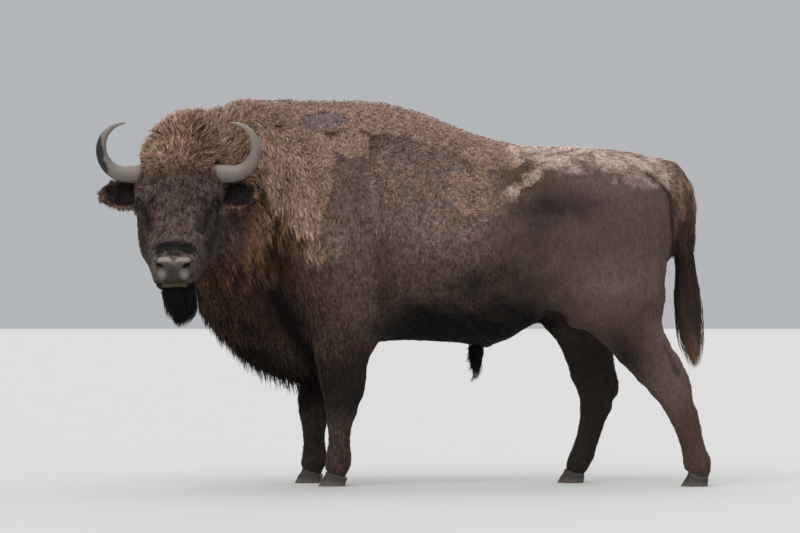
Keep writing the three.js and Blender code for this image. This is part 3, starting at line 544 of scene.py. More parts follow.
    def _face_black(self, p: Places, fine: Array) -> Array:
        """The black of the nose band, chin and lids and the ears' insides, with painted shade in the hollows
        before the eyes and under the ridges above them.
        """
        u, _, w = p.face.T
        drop = drop_of(p.local)
        arch = drop - 3.0 * u**2 + 0.004 * fine
        band = 0.98 * smooth(np.abs(arch - 0.316), 0.029, 0.017) * smooth(u + 0.02 * fine, 0.110, 0.084)
        band = np.maximum(band, 0.8 * smooth(np.abs(drop - 0.354), 0.014, 0.006) * smooth(u, 0.045, 0.020))
        band *= smooth(w, -0.16, -0.10)
        side = smooth(np.abs(u - 0.088), 0.026, 0.010) * smooth(drop, 0.36, 0.39) * smooth(w, -0.22, -0.15)
        chin = smooth(drop, 0.470 + 0.2 * (0.085 - u), 0.485 + 0.2 * (0.085 - u)) * smooth(w, -0.34, -0.28)
        lids = 0.95 * smooth(p.from_eye(), 0.052, 0.034)
        # Painted shadow under the raised ridges above the eyes, and painted shade down the sunken hollows
        # before them (tear).
        brow_shadow = 0.8 * bump_of(distance_to(p.face, (0.150, 0.118, -0.055), (0.100, 0.128, -0.01)), 0.014)
        tear = 0.92 * bump_of(distance_to(p.face, (0.138, 0.150, -0.05), (0.118, 0.250, -0.07)), 0.031)
        cheek = 0.68 * bump_of(distance_to(p.face, (0.165, 0.170, -0.10), (0.135, 0.310, -0.13)), 0.058)
        jaw = 0.15 * smooth(drop, 0.30, 0.42) * smooth(w, -0.12, -0.18)
        mottle = np.clip(-0.15 - 0.8 * fine, 0, 0.5) * smooth(p.face[:, 1], 0.0, 0.08)
        mottle *= 0.4 + 0.6 * smooth(u, 0.05, 0.10)
        head = p.on_head()
        black = np.maximum.reduce([band, 0.3 * side, chin, lids, brow_shadow, tear, cheek, jaw, mottle]) * head
        for hand in (-1, 1):
            on, rim, front = EarLeaf().split(p.local, hand)
            inner = (1 - rim) * (0.30 + 0.58 * smooth(front, -0.004, 0.006))
            black = np.maximum(black * (1 - on), on * np.clip(inner + 0.2 * fine, 0, 1))
        return np.clip(black, 0, 1)

    @staticmethod
    def pad(p: Places) -> tuple[Array, Array, Array]:
        """The bare nose pad down to the mouth, its pale places painted as highlight on the wet pad, and the
        lower lip.
        """
        u, _, w = p.face.T
        drop = drop_of(p.local)
        top = PAD_TOP + 0.016 * bump_of(u, 0.014) + 0.012 * (np.maximum(u - 0.048, 0) / 0.035) ** 2
        side = np.interp(drop, (0.40, 0.44, 0.465, LIP_LINE), (0.085, 0.078, 0.068, 0.050))
        front = smooth(w, -0.20, -0.16) * p.on_head()
        lip = smooth(np.abs(drop + 1.6 * u**2 - 0.4955), 0.0110, 0.0060) * smooth(u, 0.062, 0.044) * front
        pad = smooth(drop, top - 0.004, top + 0.004) * smooth(drop, LIP_LINE + 0.004, LIP_LINE - 0.002)
        pad = pad * smooth(u, side + 0.004, side - 0.006) * front
        # The pale places are painted highlight: along the pad's raised top rim, and on the bumps under the
        # nostrils.
        upper = smooth(drop - top, 0.028, 0.010) * smooth(u, 0.08, 0.060)
        upper *= 0.35 + 0.65 * smooth(u, 0.004, 0.020)
        lower = (drop - 0.452) / 0.020
        under = smooth(np.hypot((u - 0.050) / 0.018, lower) + 0.3 * lower, 1.6, 0.3)
        return np.maximum(pad, lip), pad * np.maximum(0.9 * upper, 0.75 * under), lip


@dataclass(frozen=True)
class Growth:
    """The coat in one zone.

    Attributes:
        depth: How deep the coat is, from the skin to its outside.
        length: Length of a lock.
        width: Width of a lock.
        lift: How far a lock stands off the skin at its root, in degrees.
        curl: How far it waves to the side.
        spacing: Distance between the roots.
        stray: How far a lock turns from the lie of its neighbours.
    """

    depth: float
    length: float
    width: float
    lift: float
    curl: float
    spacing: float
    stray: float = 0.20

    def row(self) -> Array:
        """The numbers as an array."""
        lift = math.radians(self.lift)
        return np.array((self.depth, self.length, self.width, lift, self.curl, self.spacing, self.stray))


@dataclass(frozen=True)
class Grown:
    """The coat's numbers at many places, one array for each field of Growth."""

    depth: Array
    length: Array
    width: Array
    lift: Array
    curl: Array
    spacing: Array
    stray: Array


@dataclass(frozen=True)
class CoatPlan:
    """How the coat's depth, length and lie change over the animal."""

    SHORT = Growth(0.0035, 0.026, 0.0038, 13, 0.0015, 0.0100, 0.3)
    LAYERS = (
        (Zone((0.95, 0.2, 1.0), (0.52, 0.6, 0.62)), Growth(0.0025, 0.023, 0.0036, 11, 0.001, 0.0096, 0.25)),
        (Zone((0.25, 0.1, 0.66), (0.55, 0.5, 0.16)), Growth(0.006, 0.040, 0.0042, 15, 0.003, 0.0110)),
        (Zone((0.0, 0.1, 0.20), (9.0, 9.0, 0.46)), Growth(0.003, 0.026, 0.0034, 13, 0.001, 0.0096)),
        (Zone((0.0, 0.1, 0.02), (9.0, 9.0, 0.26)), Growth(0.003, 0.022, 0.0030, 17, 0.001, 0.0086)),
        (Zone((-0.36, 0.0, 1.62), (0.55, 0.5, 0.30)), Growth(0.008, 0.026, 0.0036, 24, 0.004, 0.0088)),
        (Zone((-0.68, 0.2, 1.10), (0.30, 0.6, 0.55)), Growth(0.014, 0.075, 0.0044, 16, 0.008, 0.0096)),
        (Zone((-0.62, 0.1, 0.66), (0.36, 0.5, 0.28)), Growth(0.018, 0.085, 0.0046, 20, 0.009, 0.0100)),
        (Zone((-0.93, 0.1, 1.62), (0.20, 0.5, 0.20)), Growth(0.026, 0.065, 0.0042, 40, 0.009, 0.0094)),
    )
    FACE = Growth(0.004, 0.015, 0.0026, 27, 0.003, 0.0060, 0.45)
    CURLS = Growth(0.010, 0.023, 0.0030, 44, 0.006, 0.0062, 0.85)
    CROWN = Growth(0.040, 0.075, 0.0040, 50, 0.012, 0.0080, 0.38)
    JAW = Growth(0.012, 0.050, 0.0040, 22, 0.004, 0.0085)
    NOSE = Growth(0.002, 0.0085, 0.0020, 18, 0.0005, 0.0052)
    HEAD_LAYERS = (
        (Zone((0.0, 0.20, -0.08), (0.27, 0.30, 0.19), 0.15, Space.HEAD), FACE),
        (Zone((0.0, 0.06, 0.0), (0.19, 0.15, 0.11), 0.4, Space.HEAD), CURLS),
        (Zone((0.0, -0.13, -0.10), (0.25, 0.13, 0.30), 0.35, Space.HEAD), CROWN),
        (Zone((0.0, 0.36, -0.29), (0.15, 0.16, 0.09), 0.3, Space.HEAD), JAW),
        (Zone((0.0, 0.49, -0.10), (0.20, 0.10, 0.20), 0.25, Space.HEAD), NOSE),
    )
    EAR = Growth(0.0015, 0.020, 0.0024, 22, 0.003, 0.0066)
    EAR_RIM = Growth(0.0015, 0.030, 0.0028, 48, 0.004, 0.0050)
    TAIL_LAYER = (
        Zone((1.27, 0.0, 1.20), (0.12, 0.10, 0.26), 0.2),
        Growth(0.006, 0.055, 0.0040, 19, 0.004, 0.0070),
    )
    EYE_LAYER = (
        Zone(tuple(Head.EYE), (0.045, 0.045, 0.045), 0.3, Space.HEAD),
        Growth(0.002, 0.008, 0.0020, 16, 0.0005, 0.0052),
    )

    def at(self, p: Places) -> Grown:
        """The coat's numbers at places."""
        rows = np.tile(self.SHORT.row(), (len(p.world), 1))
        for zone, growth in (*self.LAYERS, *self.HEAD_LAYERS, self.TAIL_LAYER, self.EYE_LAYER):
            share = p.share(zone)[:, None]
            rows = rows * (1 - share) + growth.row() * share
        for hand in (-1, 1):
            on, rim = (share[:, None] for share in EarLeaf().split(p.local, hand)[:2])
            rows = rows * (1 - on) + (self.EAR.row() * (1 - rim) + self.EAR_RIM.row() * rim) * on
        return Grown(*rows.T)


@dataclass(frozen=True)
class Lie:
    """The way that the hair lies.

    Attributes:
        survey: The animal's places.
    """

    survey: Survey

    BACKWARDS = np.array((1.0, 0.0, -0.42))
    STREAMS = (
        (Zone((1.0, 0.2, 0.95), (0.45, 0.6, 0.50), 0.4), (0.40, 0.0, -1.0)),
        (Zone((-0.25, 0.2, 0.95), (0.30, 0.6, 0.42), 0.4), (0.42, 0.0, -1.0)),
        (Zone((-0.75, 0.2, 1.10), (0.36, 0.6, 0.56), 0.4), (0.42, 0.0, -1.0)),
        (Zone((-0.5, 0.1, 0.60), (0.40, 0.5, 0.25), 0.4), (0.30, 0.0, -1.0)),
        (Zone((0.0, 0.1, 0.15), (9.0, 9.0, 0.50), 0.25), (0.10, 0.0, -1.0)),
        (Zone((1.27, 0.0, 1.20), (0.10, 0.10, 0.24), 0.3), (0.10, 0.0, -1.0)),
    )
    WHORL = np.array((0.0, 0.055, 0.0))
    SWIRL_SEED, SWIRL_SIZE, SWIRL_SHARE = 40, 0.11, 0.22

    def at(self, points: Array, normals: Array) -> Array:
        """Directions along the skin.

        Args:
            points: Places on the skin.
            normals: The skin's outward directions there.

        Returns:
            Unit vectors in the skin's plane.
        """
        p = self.survey.of(points)
        flow = np.tile(self.BACKWARDS, (len(points), 1))
        for zone, way in self.STREAMS:
            share = p.share(zone)[:, None]
            flow = flow * (1 - share) + np.array(way) * share
        on_head = smooth(p.local[:, 2], -0.30, -0.20) * smooth(p.face[:, 0], 0.36, 0.27)
        away = p.local - self.WHORL
        away[:, 0] *= 0.8
        sideways = np.abs(normals @ self.survey.head.axes[0])
        away[:, 2] = -0.22 * sideways
        away = self.survey.head.turned(unit(away))
        flow = flow * (1 - on_head[:, None]) + away * on_head[:, None]
        for hand in (-1, 1):
            on, rim, _ = EarLeaf().split(p.local, hand)
            along, across, _ = EarLeaf().axes(hand)
            middle = p.local - np.array(EarLeaf().at) * (hand, 1, 1)
            outward = 0.6 * along + (0.5 + 0.7 * rim)[:, None] * np.sign(middle @ across)[:, None] * across
            flow = flow * (1 - on[:, None]) + self.survey.head.turned(unit(outward)) * on[:, None]
        noises = [Noise(self.SWIRL_SEED + axis).at(points, self.SWIRL_SIZE, 2) for axis in range(3)]
        flow = flow + self.SWIRL_SHARE * np.stack(noises, axis=1)
        return unit(flow - normals * np.sum(flow * normals, axis=1, keepdims=True))


# ---- meshes


def mesh_of(name: str, points: Array, triangles: Array) -> Mesh:
    """A mesh from arrays of points and triangles."""
    mesh = bpy.data.meshes.new(name)
    mesh.vertices.add(len(points))
    mesh.vertices.foreach_set("co", points.astype(np.float32).ravel())
    mesh.loops.add(3 * len(triangles))
    mesh.loops.foreach_set("vertex_index", triangles.astype(np.int32).ravel())
    mesh.polygons.add(len(triangles))
    mesh.polygons.foreach_set("loop_start", np.arange(0, 3 * len(triangles), 3, dtype=np.int32))
    mesh.update(calc_edges=True)
    return mesh


def taken(work: BMesh, name: str) -> Mesh:
    """A new mesh from one being worked on, which is freed."""
    mesh = bpy.data.meshes.new(name)
    work.to_mesh(mesh)
    work.free()
    return mesh


def eased(work: BMesh, vertices: object, rounds: int) -> None:
    """Moves vertices halfway to the middle of their neighbours, some rounds over."""
    axes = {"use_axis_x": True, "use_axis_y": True, "use_axis_z": True}
    for _ in range(rounds):
        bmesh.ops.smooth_vert(work, verts=vertices, factor=0.5, **axes)


def object_of(name: str, mesh: Mesh) -> Object:
    """An object that shows a mesh, in the scene."""
    piece = bpy.data.objects.new(name, mesh)
    bpy.context.scene.collection.objects.link(piece)
    return piece


def points_of(mesh: Mesh) -> Array:
    """The places of a mesh's vertices."""
    flat = np.zeros(3 * len(mesh.vertices), np.float32)
    mesh.vertices.foreach_get("co", flat)
    return flat.reshape(-1, 3).astype(float)


def normals_of(mesh: Mesh) -> Array:
    """The outward directions at a mesh's vertices."""
    flat = np.zeros(3 * len(mesh.vertices), np.float32)
    mesh.vertex_normals.foreach_get("vector", flat)
    return flat.reshape(-1, 3).astype(float)


def put_points(mesh: Mesh, points: Array) -> None:
    """Moves a mesh's vertices."""
    mesh.vertices.foreach_set("co", points.astype(np.float32).ravel())
    mesh.update()


def relax(mesh: Mesh, rounds: int, share: Array, volume: float = 0.0) -> None:
    """Evens out a mesh by moving each vertex towards its neighbours.

    Args:
        mesh: The mesh to smooth.
        rounds: How many times to do it.
        share: How much each vertex takes part, from 0 to 1.
        volume: Share of each move that the next half round takes back, which keeps the form from shrinking.
    """
    edges = np.zeros(2 * len(mesh.edges), np.int32)
    mesh.edges.foreach_get("vertices", edges)
    a, b = edges.reshape(-1, 2).T
    count = len(mesh.vertices)
    valence = np.maximum(np.bincount(a, minlength=count) + np.bincount(b, minlength=count), 1)
    points = points_of(mesh)
    for _ in range(rounds):
        for strength in (0.5, -0.5 * volume):
            if strength == 0.0:
                continue
            total = np.stack(
                [
                    np.bincount(a, points[b, i], count) + np.bincount(b, points[a, i], count)
                    for i in range(3)
                ],
                axis=1,
            )
            points += strength * share[:, None] * (total / valence[:, None] - points)
    put_points(mesh, points)


def store(mesh: Mesh, name: str, values: Array) -> None:
    """Keeps one number a vertex on a mesh, for its material."""
    layer = mesh.attributes.new(name, "FLOAT", "POINT")
    layer.data.foreach_set("value", values.astype(np.float32))


def dressed(piece: Object, material: Material) -> Object:
    """Gives a piece its material and the body it rides on, and reports it."""
    piece.data.materials.clear()
    piece.data.materials.append(material)
    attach(piece, "root")
    LOG.info("%s: %d faces", piece.name, len(piece.data.polygons))
    return piece


class Surface:
    """A mesh that can be asked for its nearest point."""

    def __init__(self, mesh: Mesh) -> None:
        """Reads the mesh, whose faces become triangles here."""
        mesh.calc_loop_triangles()
        self.points = points_of(mesh)
        self.normals = normals_of(mesh)
        corners = np.zeros(3 * len(mesh.loop_triangles), np.int32)
        mesh.loop_triangles.foreach_get("vertices", corners)
        self.triangles = corners.reshape(-1, 3)
        self.tree = BVHTree.FromPolygons(self.points.tolist(), self.triangles.tolist(), all_triangles=True)
        self.face_normals = unit(self.normals[self.triangles].sum(axis=1))

    def nearest(self, points: Array) -> tuple[Array, Array]:
        """The nearest points of the mesh and its smooth outward directions there."""
        found = [self.tree.find_nearest(p) for p in points.tolist()]
        places = np.array([f[0] for f in found])
        return places, self.face_normals[[f[2] for f in found]]


# ---- shader maths


class Socket:
    """A shader socket that can be used in expressions, each of which adds a node."""

    def __init__(self, board: "Board", socket: NodeSocket) -> None:
        """Wraps a socket of a board's material."""
        self.board = board
        self.socket = socket

    def _with(self, operation: str, *values: "Socket | float") -> "Socket":
        """A Math node of one operation on values."""
        return self.board.node("ShaderNodeMath", {"operation": operation}, *values)

    def __add__(self, other: "Socket | float") -> "Socket":
        """The sum."""
        return self._with("ADD", self, other)

    def __mul__(self, other: "Socket | float") -> "Socket":
        """The product."""
        return self._with("MULTIPLY", self, other)

    def __sub__(self, other: "Socket | float") -> "Socket":
        """The difference."""
        return self._with("SUBTRACT", self, other)

    def __rsub__(self, other: float) -> "Socket":
        """The difference from a number."""
        return self._with("SUBTRACT", other, self)

    __radd__ = __add__
    __rmul__ = __mul__

    def step(self, low: float, high: float) -> "Socket":
        """0 below low and 1 above high, with a soft step between."""
        settings = {"interpolation_type": "SMOOTHSTEP"}
        ends = {"From Min": low, "From Max": high}
        return self.board.node("ShaderNodeMapRange", settings, Value=self, **ends)


class Board:
    """The node board of one material."""

    # Where a Mix node keeps its share, its two colours and their mix.
    MIX_INPUTS, MIX_OUTPUT = (0, 6, 7), 2

    def __init__(self, name: str) -> None:
        """Starts a material with a Principled shader."""
        self.material = bpy.data.materials.new(name)
        self.material.use_nodes = True
        self.tree = self.material.node_tree
        self.shader = self.tree.nodes["Principled BSDF"]

    def node(self, kind: str, settings: dict, *values: object, **sockets: object) -> Socket:
        """Adds a node.

        Args:
            kind: The node's type.
            settings: Its own settings, set before its sockets.
            values: Numbers, colours or sockets for its first inputs.
            sockets: The same for inputs by name.

        Returns:
            Its first live output.
        """
        made = self.tree.nodes.new(kind)
        for key, value in settings.items():
            setattr(made, key, value)
        for key, value in (*enumerate(values), *sockets.items()):
            self._feed(made.inputs[key], value)
        return Socket(self, next(o for o in made.outputs if o.enabled))

    def _feed(self, target: NodeSocket, value: object) -> None:
        """Links or sets one input."""
        if isinstance(value, Socket):
            self.tree.links.new(value.socket, target)
        elif isinstance(value, tuple) and target.type == "RGBA":
            target.default_value = (*value, 1.0)
        else:
            target.default_value = value

    def place(self) -> Socket:
        """The object's own coordinates."""
        made = self.tree.nodes.new("ShaderNodeTexCoord")
        return Socket(self, made.outputs["Object"])

    def scaled(self, scale: tuple[float, float, float]) -> Socket:
        """The object's coordinates, stretched."""
        return self.node("ShaderNodeMapping", {}, Vector=self.place(), Scale=scale)

    def share(self, name: str) -> Socket:
        """A number kept on the mesh."""
        made = self.tree.nodes.new("ShaderNodeAttribute")
        made.attribute_name = name
        return Socket(self, made.outputs["Fac"])

    def noise(self, where: Socket, scale: float, detail: float = 2.0, rough: float = 0.5) -> Socket:
        """Cloudy noise from 0 to 1."""
        return self.node("ShaderNodeTexNoise", {}, Vector=where, Scale=scale, Detail=detail, Roughness=rough)

    def mix(self, share: "Socket | float", first: object, second: object) -> Socket:
        """A mix of two colours."""
        made = self.tree.nodes.new("ShaderNodeMix")
        made.data_type = "RGBA"
        for index, value in zip(self.MIX_INPUTS, (share, first, second), strict=True):
            self._feed(made.inputs[index], value)
        return Socket(self, made.outputs[self.MIX_OUTPUT])

    def times(self, colour: object, amount: Socket) -> Socket:
        """A colour made darker or lighter by a number."""
        return self.node("ShaderNodeVectorMath", {"operation": "SCALE"}, Vector=colour, Scale=amount)

    def bump(self, height: Socket, distance: float, strength: float = 1.0) -> Socket:
        """A bumped normal."""
        return self.node("ShaderNodeBump", {}, Strength=strength, Distance=distance, Height=height)

    def finish(self, **sockets: object) -> Material:
        """Sets the shader's sockets and gives the material."""
        for key, value in sockets.items():
            self._feed(self.shader.inputs[key.replace("_", " ")], value)
        return self.material


# ---- finishes


@dataclass(frozen=True)
class Pelt:
    """The colours that skin and coat share, and the two materials made of them."""

    brown: tuple = linear(92, 72, 61)
    mauve: tuple = linear(118, 96, 90)
    grey: tuple = linear(108, 92, 86)
    ginger: tuple = linear(136, 98, 66)
    umber: tuple = linear(74, 55, 43)
    wool: tuple = linear(176, 144, 124)
    pale: tuple = linear(240, 211, 197)
    bare: tuple = linear(136, 117, 115)
    # Black is the hair's own black, and also the colour of all the painted shade.
    black: tuple = linear(13, 11, 11)
    wet: tuple = linear(60, 55, 44)
    # Rim is the pale of the nose pad, a painted highlight on its top rim and on the bumps under the nostrils.
    rim: tuple = linear(150, 139, 132)
    lip: tuple = linear(84, 77, 48)

    def colour(self, board: Board) -> Socket:
        """The mixed colour of the markings."""
        mixed: object = self.brown
        for name in Markings.NAMES:
            mixed = board.mix(board.share(name), mixed, getattr(self, name))
        return mixed

    @staticmethod
    def rough_share(board: Board) -> Socket:
        """How uneven the coat's tone is: most on the head, least on the sleek hindquarters."""
        along = board.node("ShaderNodeSeparateXYZ", {}, board.place())
        return 1.0 - 0.62 * along.step(0.30, 0.60) + 0.40 * (0.0 - along).step(0.72, 0.86)

    def grain(self, board: Board) -> Socket:
        """Light and dark in the coat at the size of a few locks, drawn out the way that most hair lies."""
        fine = board.noise(board.scaled((1.0, 1.0, 0.5)), 95.0, 3.0, 0.65).step(0.34, 0.66)
        broad = board.noise(board.scaled((1.0, 1.0, 0.7)), 32.0, 3.0, 0.6).step(0.30, 0.70)
        return 1.0 + self.rough_share(board) * (0.85 * (fine - 0.5) + 0.40 * (broad - 0.5))

    def coat(self) -> Material:
        """Hair: darker at the root, each lock a little its own shade."""
        board = Board("coat_hair")
        along = board.share("along")
        chance = board.share("chance")
        streak = board.noise(board.scaled((1.0, 1.0, 0.3)), 160.0, 2.0)
        uneven = 0.98 + (0.30 + 0.62 * self.rough_share(board)) * (chance - 0.5)
        tone = (0.34 + 0.86 * along) * uneven * (0.76 + 0.48 * streak) * self.grain(board)
        colour = board.times(self.colour(board), tone)
        return board.finish(Base_Color=colour, Roughness=0.85, Specular_IOR_Level=0.15, Sheen_Weight=0.04)

    def hide(self) -> Material:
        """Skin under the coat, with a fine lie of hair as bumps, and the wet nose pad."""
        board = Board("skin_hide")
        hairs = board.noise(board.scaled((1.0, 1.0, 0.22)), 420.0, 3.0, 0.6)
        clumps = board.noise(board.scaled((1.0, 1.0, 0.5)), 60.0, 3.0)
        wet = board.share("wet")
        edges = {"feature": "DISTANCE_TO_EDGE"}
        grain = board.node("ShaderNodeTexVoronoi", edges, Vector=board.place(), Scale=260.0)
        tone = 0.34 + 0.34 * hairs + 0.30 * clumps
        dry = board.times(self.colour(board), (tone + wet * 0.40) * (self.grain(board) * (1.0 - wet) + wet))
        height = hairs * (1.0 - wet) + clumps * 0.5 * (1.0 - wet) + grain.step(0.0, 0.12) * wet * 0.35
        rough = 0.88 - wet * 0.50
        normal = board.bump(height, 0.0035, 0.8)
        return board.finish(Base_Color=dry, Roughness=rough, Specular_IOR_Level=0.35, Normal=normal)


@dataclass(frozen=True)
class HornFinish:
    """Grey horn with dark weathered patches, pale near its tips."""

    grey: tuple = linear(122, 113, 106)
    dark: tuple = linear(24, 23, 24)
    tip: tuple = linear(134, 127, 118)

    def material(self) -> Material:
        """The horn's material, along its own length and turn."""
        board = Board("horn_keratin")
        along = board.share("along")
        weather = board.share("weather")
        streaks = board.noise(board.place(), 90.0, 4.0, 0.65)
        blotch = board.noise(board.place(), 22.0, 3.0)
        colour = board.mix(along.step(0.45, 0.8), self.grey, self.tip)
        patches = (weather + blotch * 0.7 - 0.35).step(0.42, 0.62)
        colour = board.mix(patches, colour, self.dark)
        colour = board.times(colour, 0.62 + 0.72 * streaks)
        rings = board.node("ShaderNodeMath", {"operation": "SINE"}, along * 190.0)
        height = rings * (1.0 - along.step(0.05, 0.5)) * 0.35 + streaks
        normal = board.bump(height, 0.0022, 0.7)
        return board.finish(Base_Color=colour, Roughness=0.42 + 0.2 * blotch, Normal=normal)


@dataclass(frozen=True)
class HoofFinish:
    """Dark hoof horn with growth rings and dried soil towards the ground."""

    horn: tuple = linear(48, 43, 40)
    soil: tuple = linear(104, 92, 78)

    def material(self) -> Material:
        """The hoof's material."""
        board = Board("hoof_keratin")
        place = board.place()
        rings = board.noise(board.scaled((0.4, 0.4, 7.0)), 34.0, 3.0)
        grain = board.noise(board.scaled((9.0, 9.0, 1.0)), 22.0, 3.0)
        height = board.node("ShaderNodeSeparateXYZ", {}, Vector=place)
        up = Socket(board, height.socket.node.outputs["Z"])
        soiled = (up * -22.0 + 0.9 + grain * 0.6).step(0.55, 1.1) * 0.6
        colour = board.mix(soiled, self.horn, self.soil)
        colour = board.times(colour, 0.7 + 0.6 * grain)
        normal = board.bump(rings + grain * 0.5, 0.0016, 0.8)
        return board.finish(Base_Color=colour, Roughness=0.55, Normal=normal)


@dataclass(frozen=True)
class EyeFinish:
    """A dark brown eye with a wide lying pupil, under clear wet gloss."""

    iris: tuple = linear(34, 23, 17)
    pupil: tuple = linear(6, 6, 9)
    white: tuple = linear(30, 25, 23)

    def material(self) -> Material:
        """The eye's material, by the shares kept on its mesh."""
        board = Board("eye_wet")
        fibres = board.noise(board.place(), 900.0, 3.0, 0.7)
        iris = board.times(self.iris, 0.6 + 0.8 * fibres)
        colour = board.mix(board.share("iris"), self.white, iris)
        colour = board.mix(board.share("pupil"), colour, self.pupil)
        return board.finish(Base_Color=colour, Roughness=0.16, Specular_IOR_Level=0.25, Coat_Weight=0.1)


def flat_finish(name: str, colour: tuple, rough: float) -> Material:
    """A plain finish with a faint grain, for the floor."""
    board = Board(name)
    grain = board.noise(board.place(), 3.0, 4.0)
    return board.finish(Base_Color=board.times(colour, 0.97 + 0.06 * grain), Roughness=rough)


# ---- the skin


@dataclass(frozen=True)
class Fold:
    """A raised or sunken line of the skin, the same on both sides.

    It is drawn as the body is seen from the side, or the face from the front, and shows right through.

    Attributes:
        start: One end.
        end: The other end.
        width: How wide it fades.
        height: How far it rises, or sinks where it is negative.
        space: The axes that the ends are in.
    """

    start: tuple[float, float, float]
    end: tuple[float, float, float]
    width: float
    height: float
    space: Space = Space.BODY

    def rise(self, p: Places) -> Array:
        """How far the skin rises at each place."""
        if self.space is Space.BODY:
            own, seen, gate = p.side, np.array((1, 0, 1)), smooth(p.side[:, 1], 0.03, 0.08)
        else:
            own, seen, gate = p.face, np.array((1, 1, 0)), smooth(p.local[:, 2], -0.24, -0.16) * p.on_head()
        distance = distance_to(own * seen, self.start * seen, self.end * seen)
        return self.height * gate * bump_of(distance, self.width)


@dataclass
class Skin:
    """The whole hide in one piece, from the muzzle to the tail and down to the hooves.

    Attributes:
        frame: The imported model.
        survey: The animal's places.
        plan: The coat that covers it.
        voxel: Size of the mesh before the head is refined.
        swell: How far each solid is grown so that neighbours join.
        facet_rounds: Rounds that smooth the solids' facets away.
        evened: How far a refined place is evened out again, from 0 to 1.
    """

    frame: dict
    survey: Survey
    plan: CoatPlan
    voxel: float = 0.0135
    swell: float = 0.002
    facet_rounds: int = 50
    evened: float = 0.60

    # The shares of a smoothing move that are taken back, over all the body and in a refined place.
    BODY_VOLUME, REFINED_VOLUME = 1.06, 0.9
    FLESH = (
        "trunk neck head muzzle tail_dock ear_left ear_right foreleg_left_upper foreleg_left_lower"
        " foreleg_right_upper foreleg_right_lower hindleg_left_upper hindleg_left_lower hindleg_right_upper"
        " hindleg_right_lower"
    ).split()
    EARS = ("ear_left", "ear_right")
    EYES = ("eye_left", "eye_right")
    # What fills a horn's socket: its place in the head's axes, and its radius.
    PLUG, PLUG_RADIUS = (0.145, 0.015, -0.045), 0.048
    # How far the skin goes inside a hoof's top edge, how far above the ground it ends, and the ears' coat.
    TUCK, SOLE_GAP, EAR_DEPTH = 0.007, 0.006, 0.002
    RIBS = Zone((0.27, 0.28, 1.12), (0.26, 0.3, 0.24), 0.4)
    RIB_PITCH, RIB_LEAN, RIB_HEIGHT = 0.072, 0.10, 0.0022
    DENT_SEED, DENT_SIZE, DENT_HEIGHT = 21, 0.16, 0.004
    # A nostril: its place out from the middle and below the head's origin, half sizes, lean and way in.
    NOSTRIL_AT, NOSTRIL_HALF, NOSTRIL_SLANT = (0.058, 0.409), (0.0165, 0.0088), math.radians(28)
    NOSTRIL_WAY, NOSTRIL_DEPTH = (0.0, -0.45, -0.89), 0.026

    FOLDS = (
        Fold((-0.13, 0, 1.34), (-0.10, 0, 0.88), 0.036, 0.012),
        Fold((-0.05, 0, 1.30), (-0.01, 0, 0.86), 0.034, -0.012),
        Fold((-0.58, 0, 1.00), (-0.40, 0, 0.66), 0.045, -0.040),
        Fold((-0.70, 0, 0.86), (-0.52, 0, 0.60), 0.060, 0.016),
        Fold((0.62, 0, 1.22), (0.63, 0, 1.02), 0.055, -0.016),
        Fold((0.55, 0, 1.29), (0.68, 0, 1.22), 0.040, -0.008),
        Fold((0.72, 0, 1.26), (0.81, 0, 1.19), 0.050, -0.010),
        Fold((0.69, 0, 1.36), (0.71, 0, 1.38), 0.045, 0.009),
        Fold((0.68, 0, 0.98), (0.76, 0, 0.80), 0.040, 0.008),
        Fold((1.02, 0, 1.24), (1.10, 0, 0.90), 0.050, -0.007),
        Fold((1.165, 0, 0.62), (1.215, 0, 0.50), 0.017, -0.010),
        Fold((1.215, 0, 0.64), (1.245, 0, 0.52), 0.015, 0.005),
        Fold((-0.27, 0, 0.55), (-0.28, 0, 0.40), 0.022, 0.004),
        Fold((-0.36, 0, 0.86), (-0.22, 0, 0.72), 0.040, 0.009),
        Fold((-1.12, 0, 1.55), (-0.87, 0, 1.55), 0.026, -0.016),
    )
    FACE_FOLDS = (
        Fold((0.118, 0.100, 0), (0.165, 0.072, 0), 0.013, 0.008, Space.HEAD),
        Fold((0.120, 0.155, 0), (0.160, 0.165, 0), 0.010, 0.004, Space.HEAD),
        Fold((0.122, 0.145, 0), (0.104, 0.270, 0), 0.018, -0.011, Space.HEAD),
        Fold((0.085, 0.200, 0), (0.060, 0.330, 0), 0.022, 0.004, Space.HEAD),
        Fold((0.000, 0.120, 0), (0.000, 0.240, 0), 0.040, 0.004, Space.HEAD),
    )

    def build(self) -> Object:
        """Makes the skin and takes the place of all the flesh."""
        body = self._body_mesh()
        self._draw_in(body)
        for chosen in (self._near_head, self._near_features, self._near_openings):
            self._refine(body, chosen)
        self._shape(body)
        piece = object_of("skin", body)
        self._add_ears(piece)
        self._add_lids(piece)
        body.shade_smooth()
        p = self.survey.of(points_of(body))
        for name, values in Markings().at(p).items():
            store(body, name, values)
        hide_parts(*self.FLESH)
        return piece

    def _copy(self, names: tuple[str, ...] | list[str], grow: float) -> BMesh:
        """The merged copy of some solids, grown a little so that neighbours overlap."""
        shell = bmesh.new()
        for name in names:
            shell.from_mesh(self.frame["nodes"][name].data)
        bmesh.ops.remove_doubles(shell, verts=shell.verts, dist=WELD)
        shell.normal_update()
        for vertex in shell.verts:
            vertex.co += vertex.normal * grow
        return shell

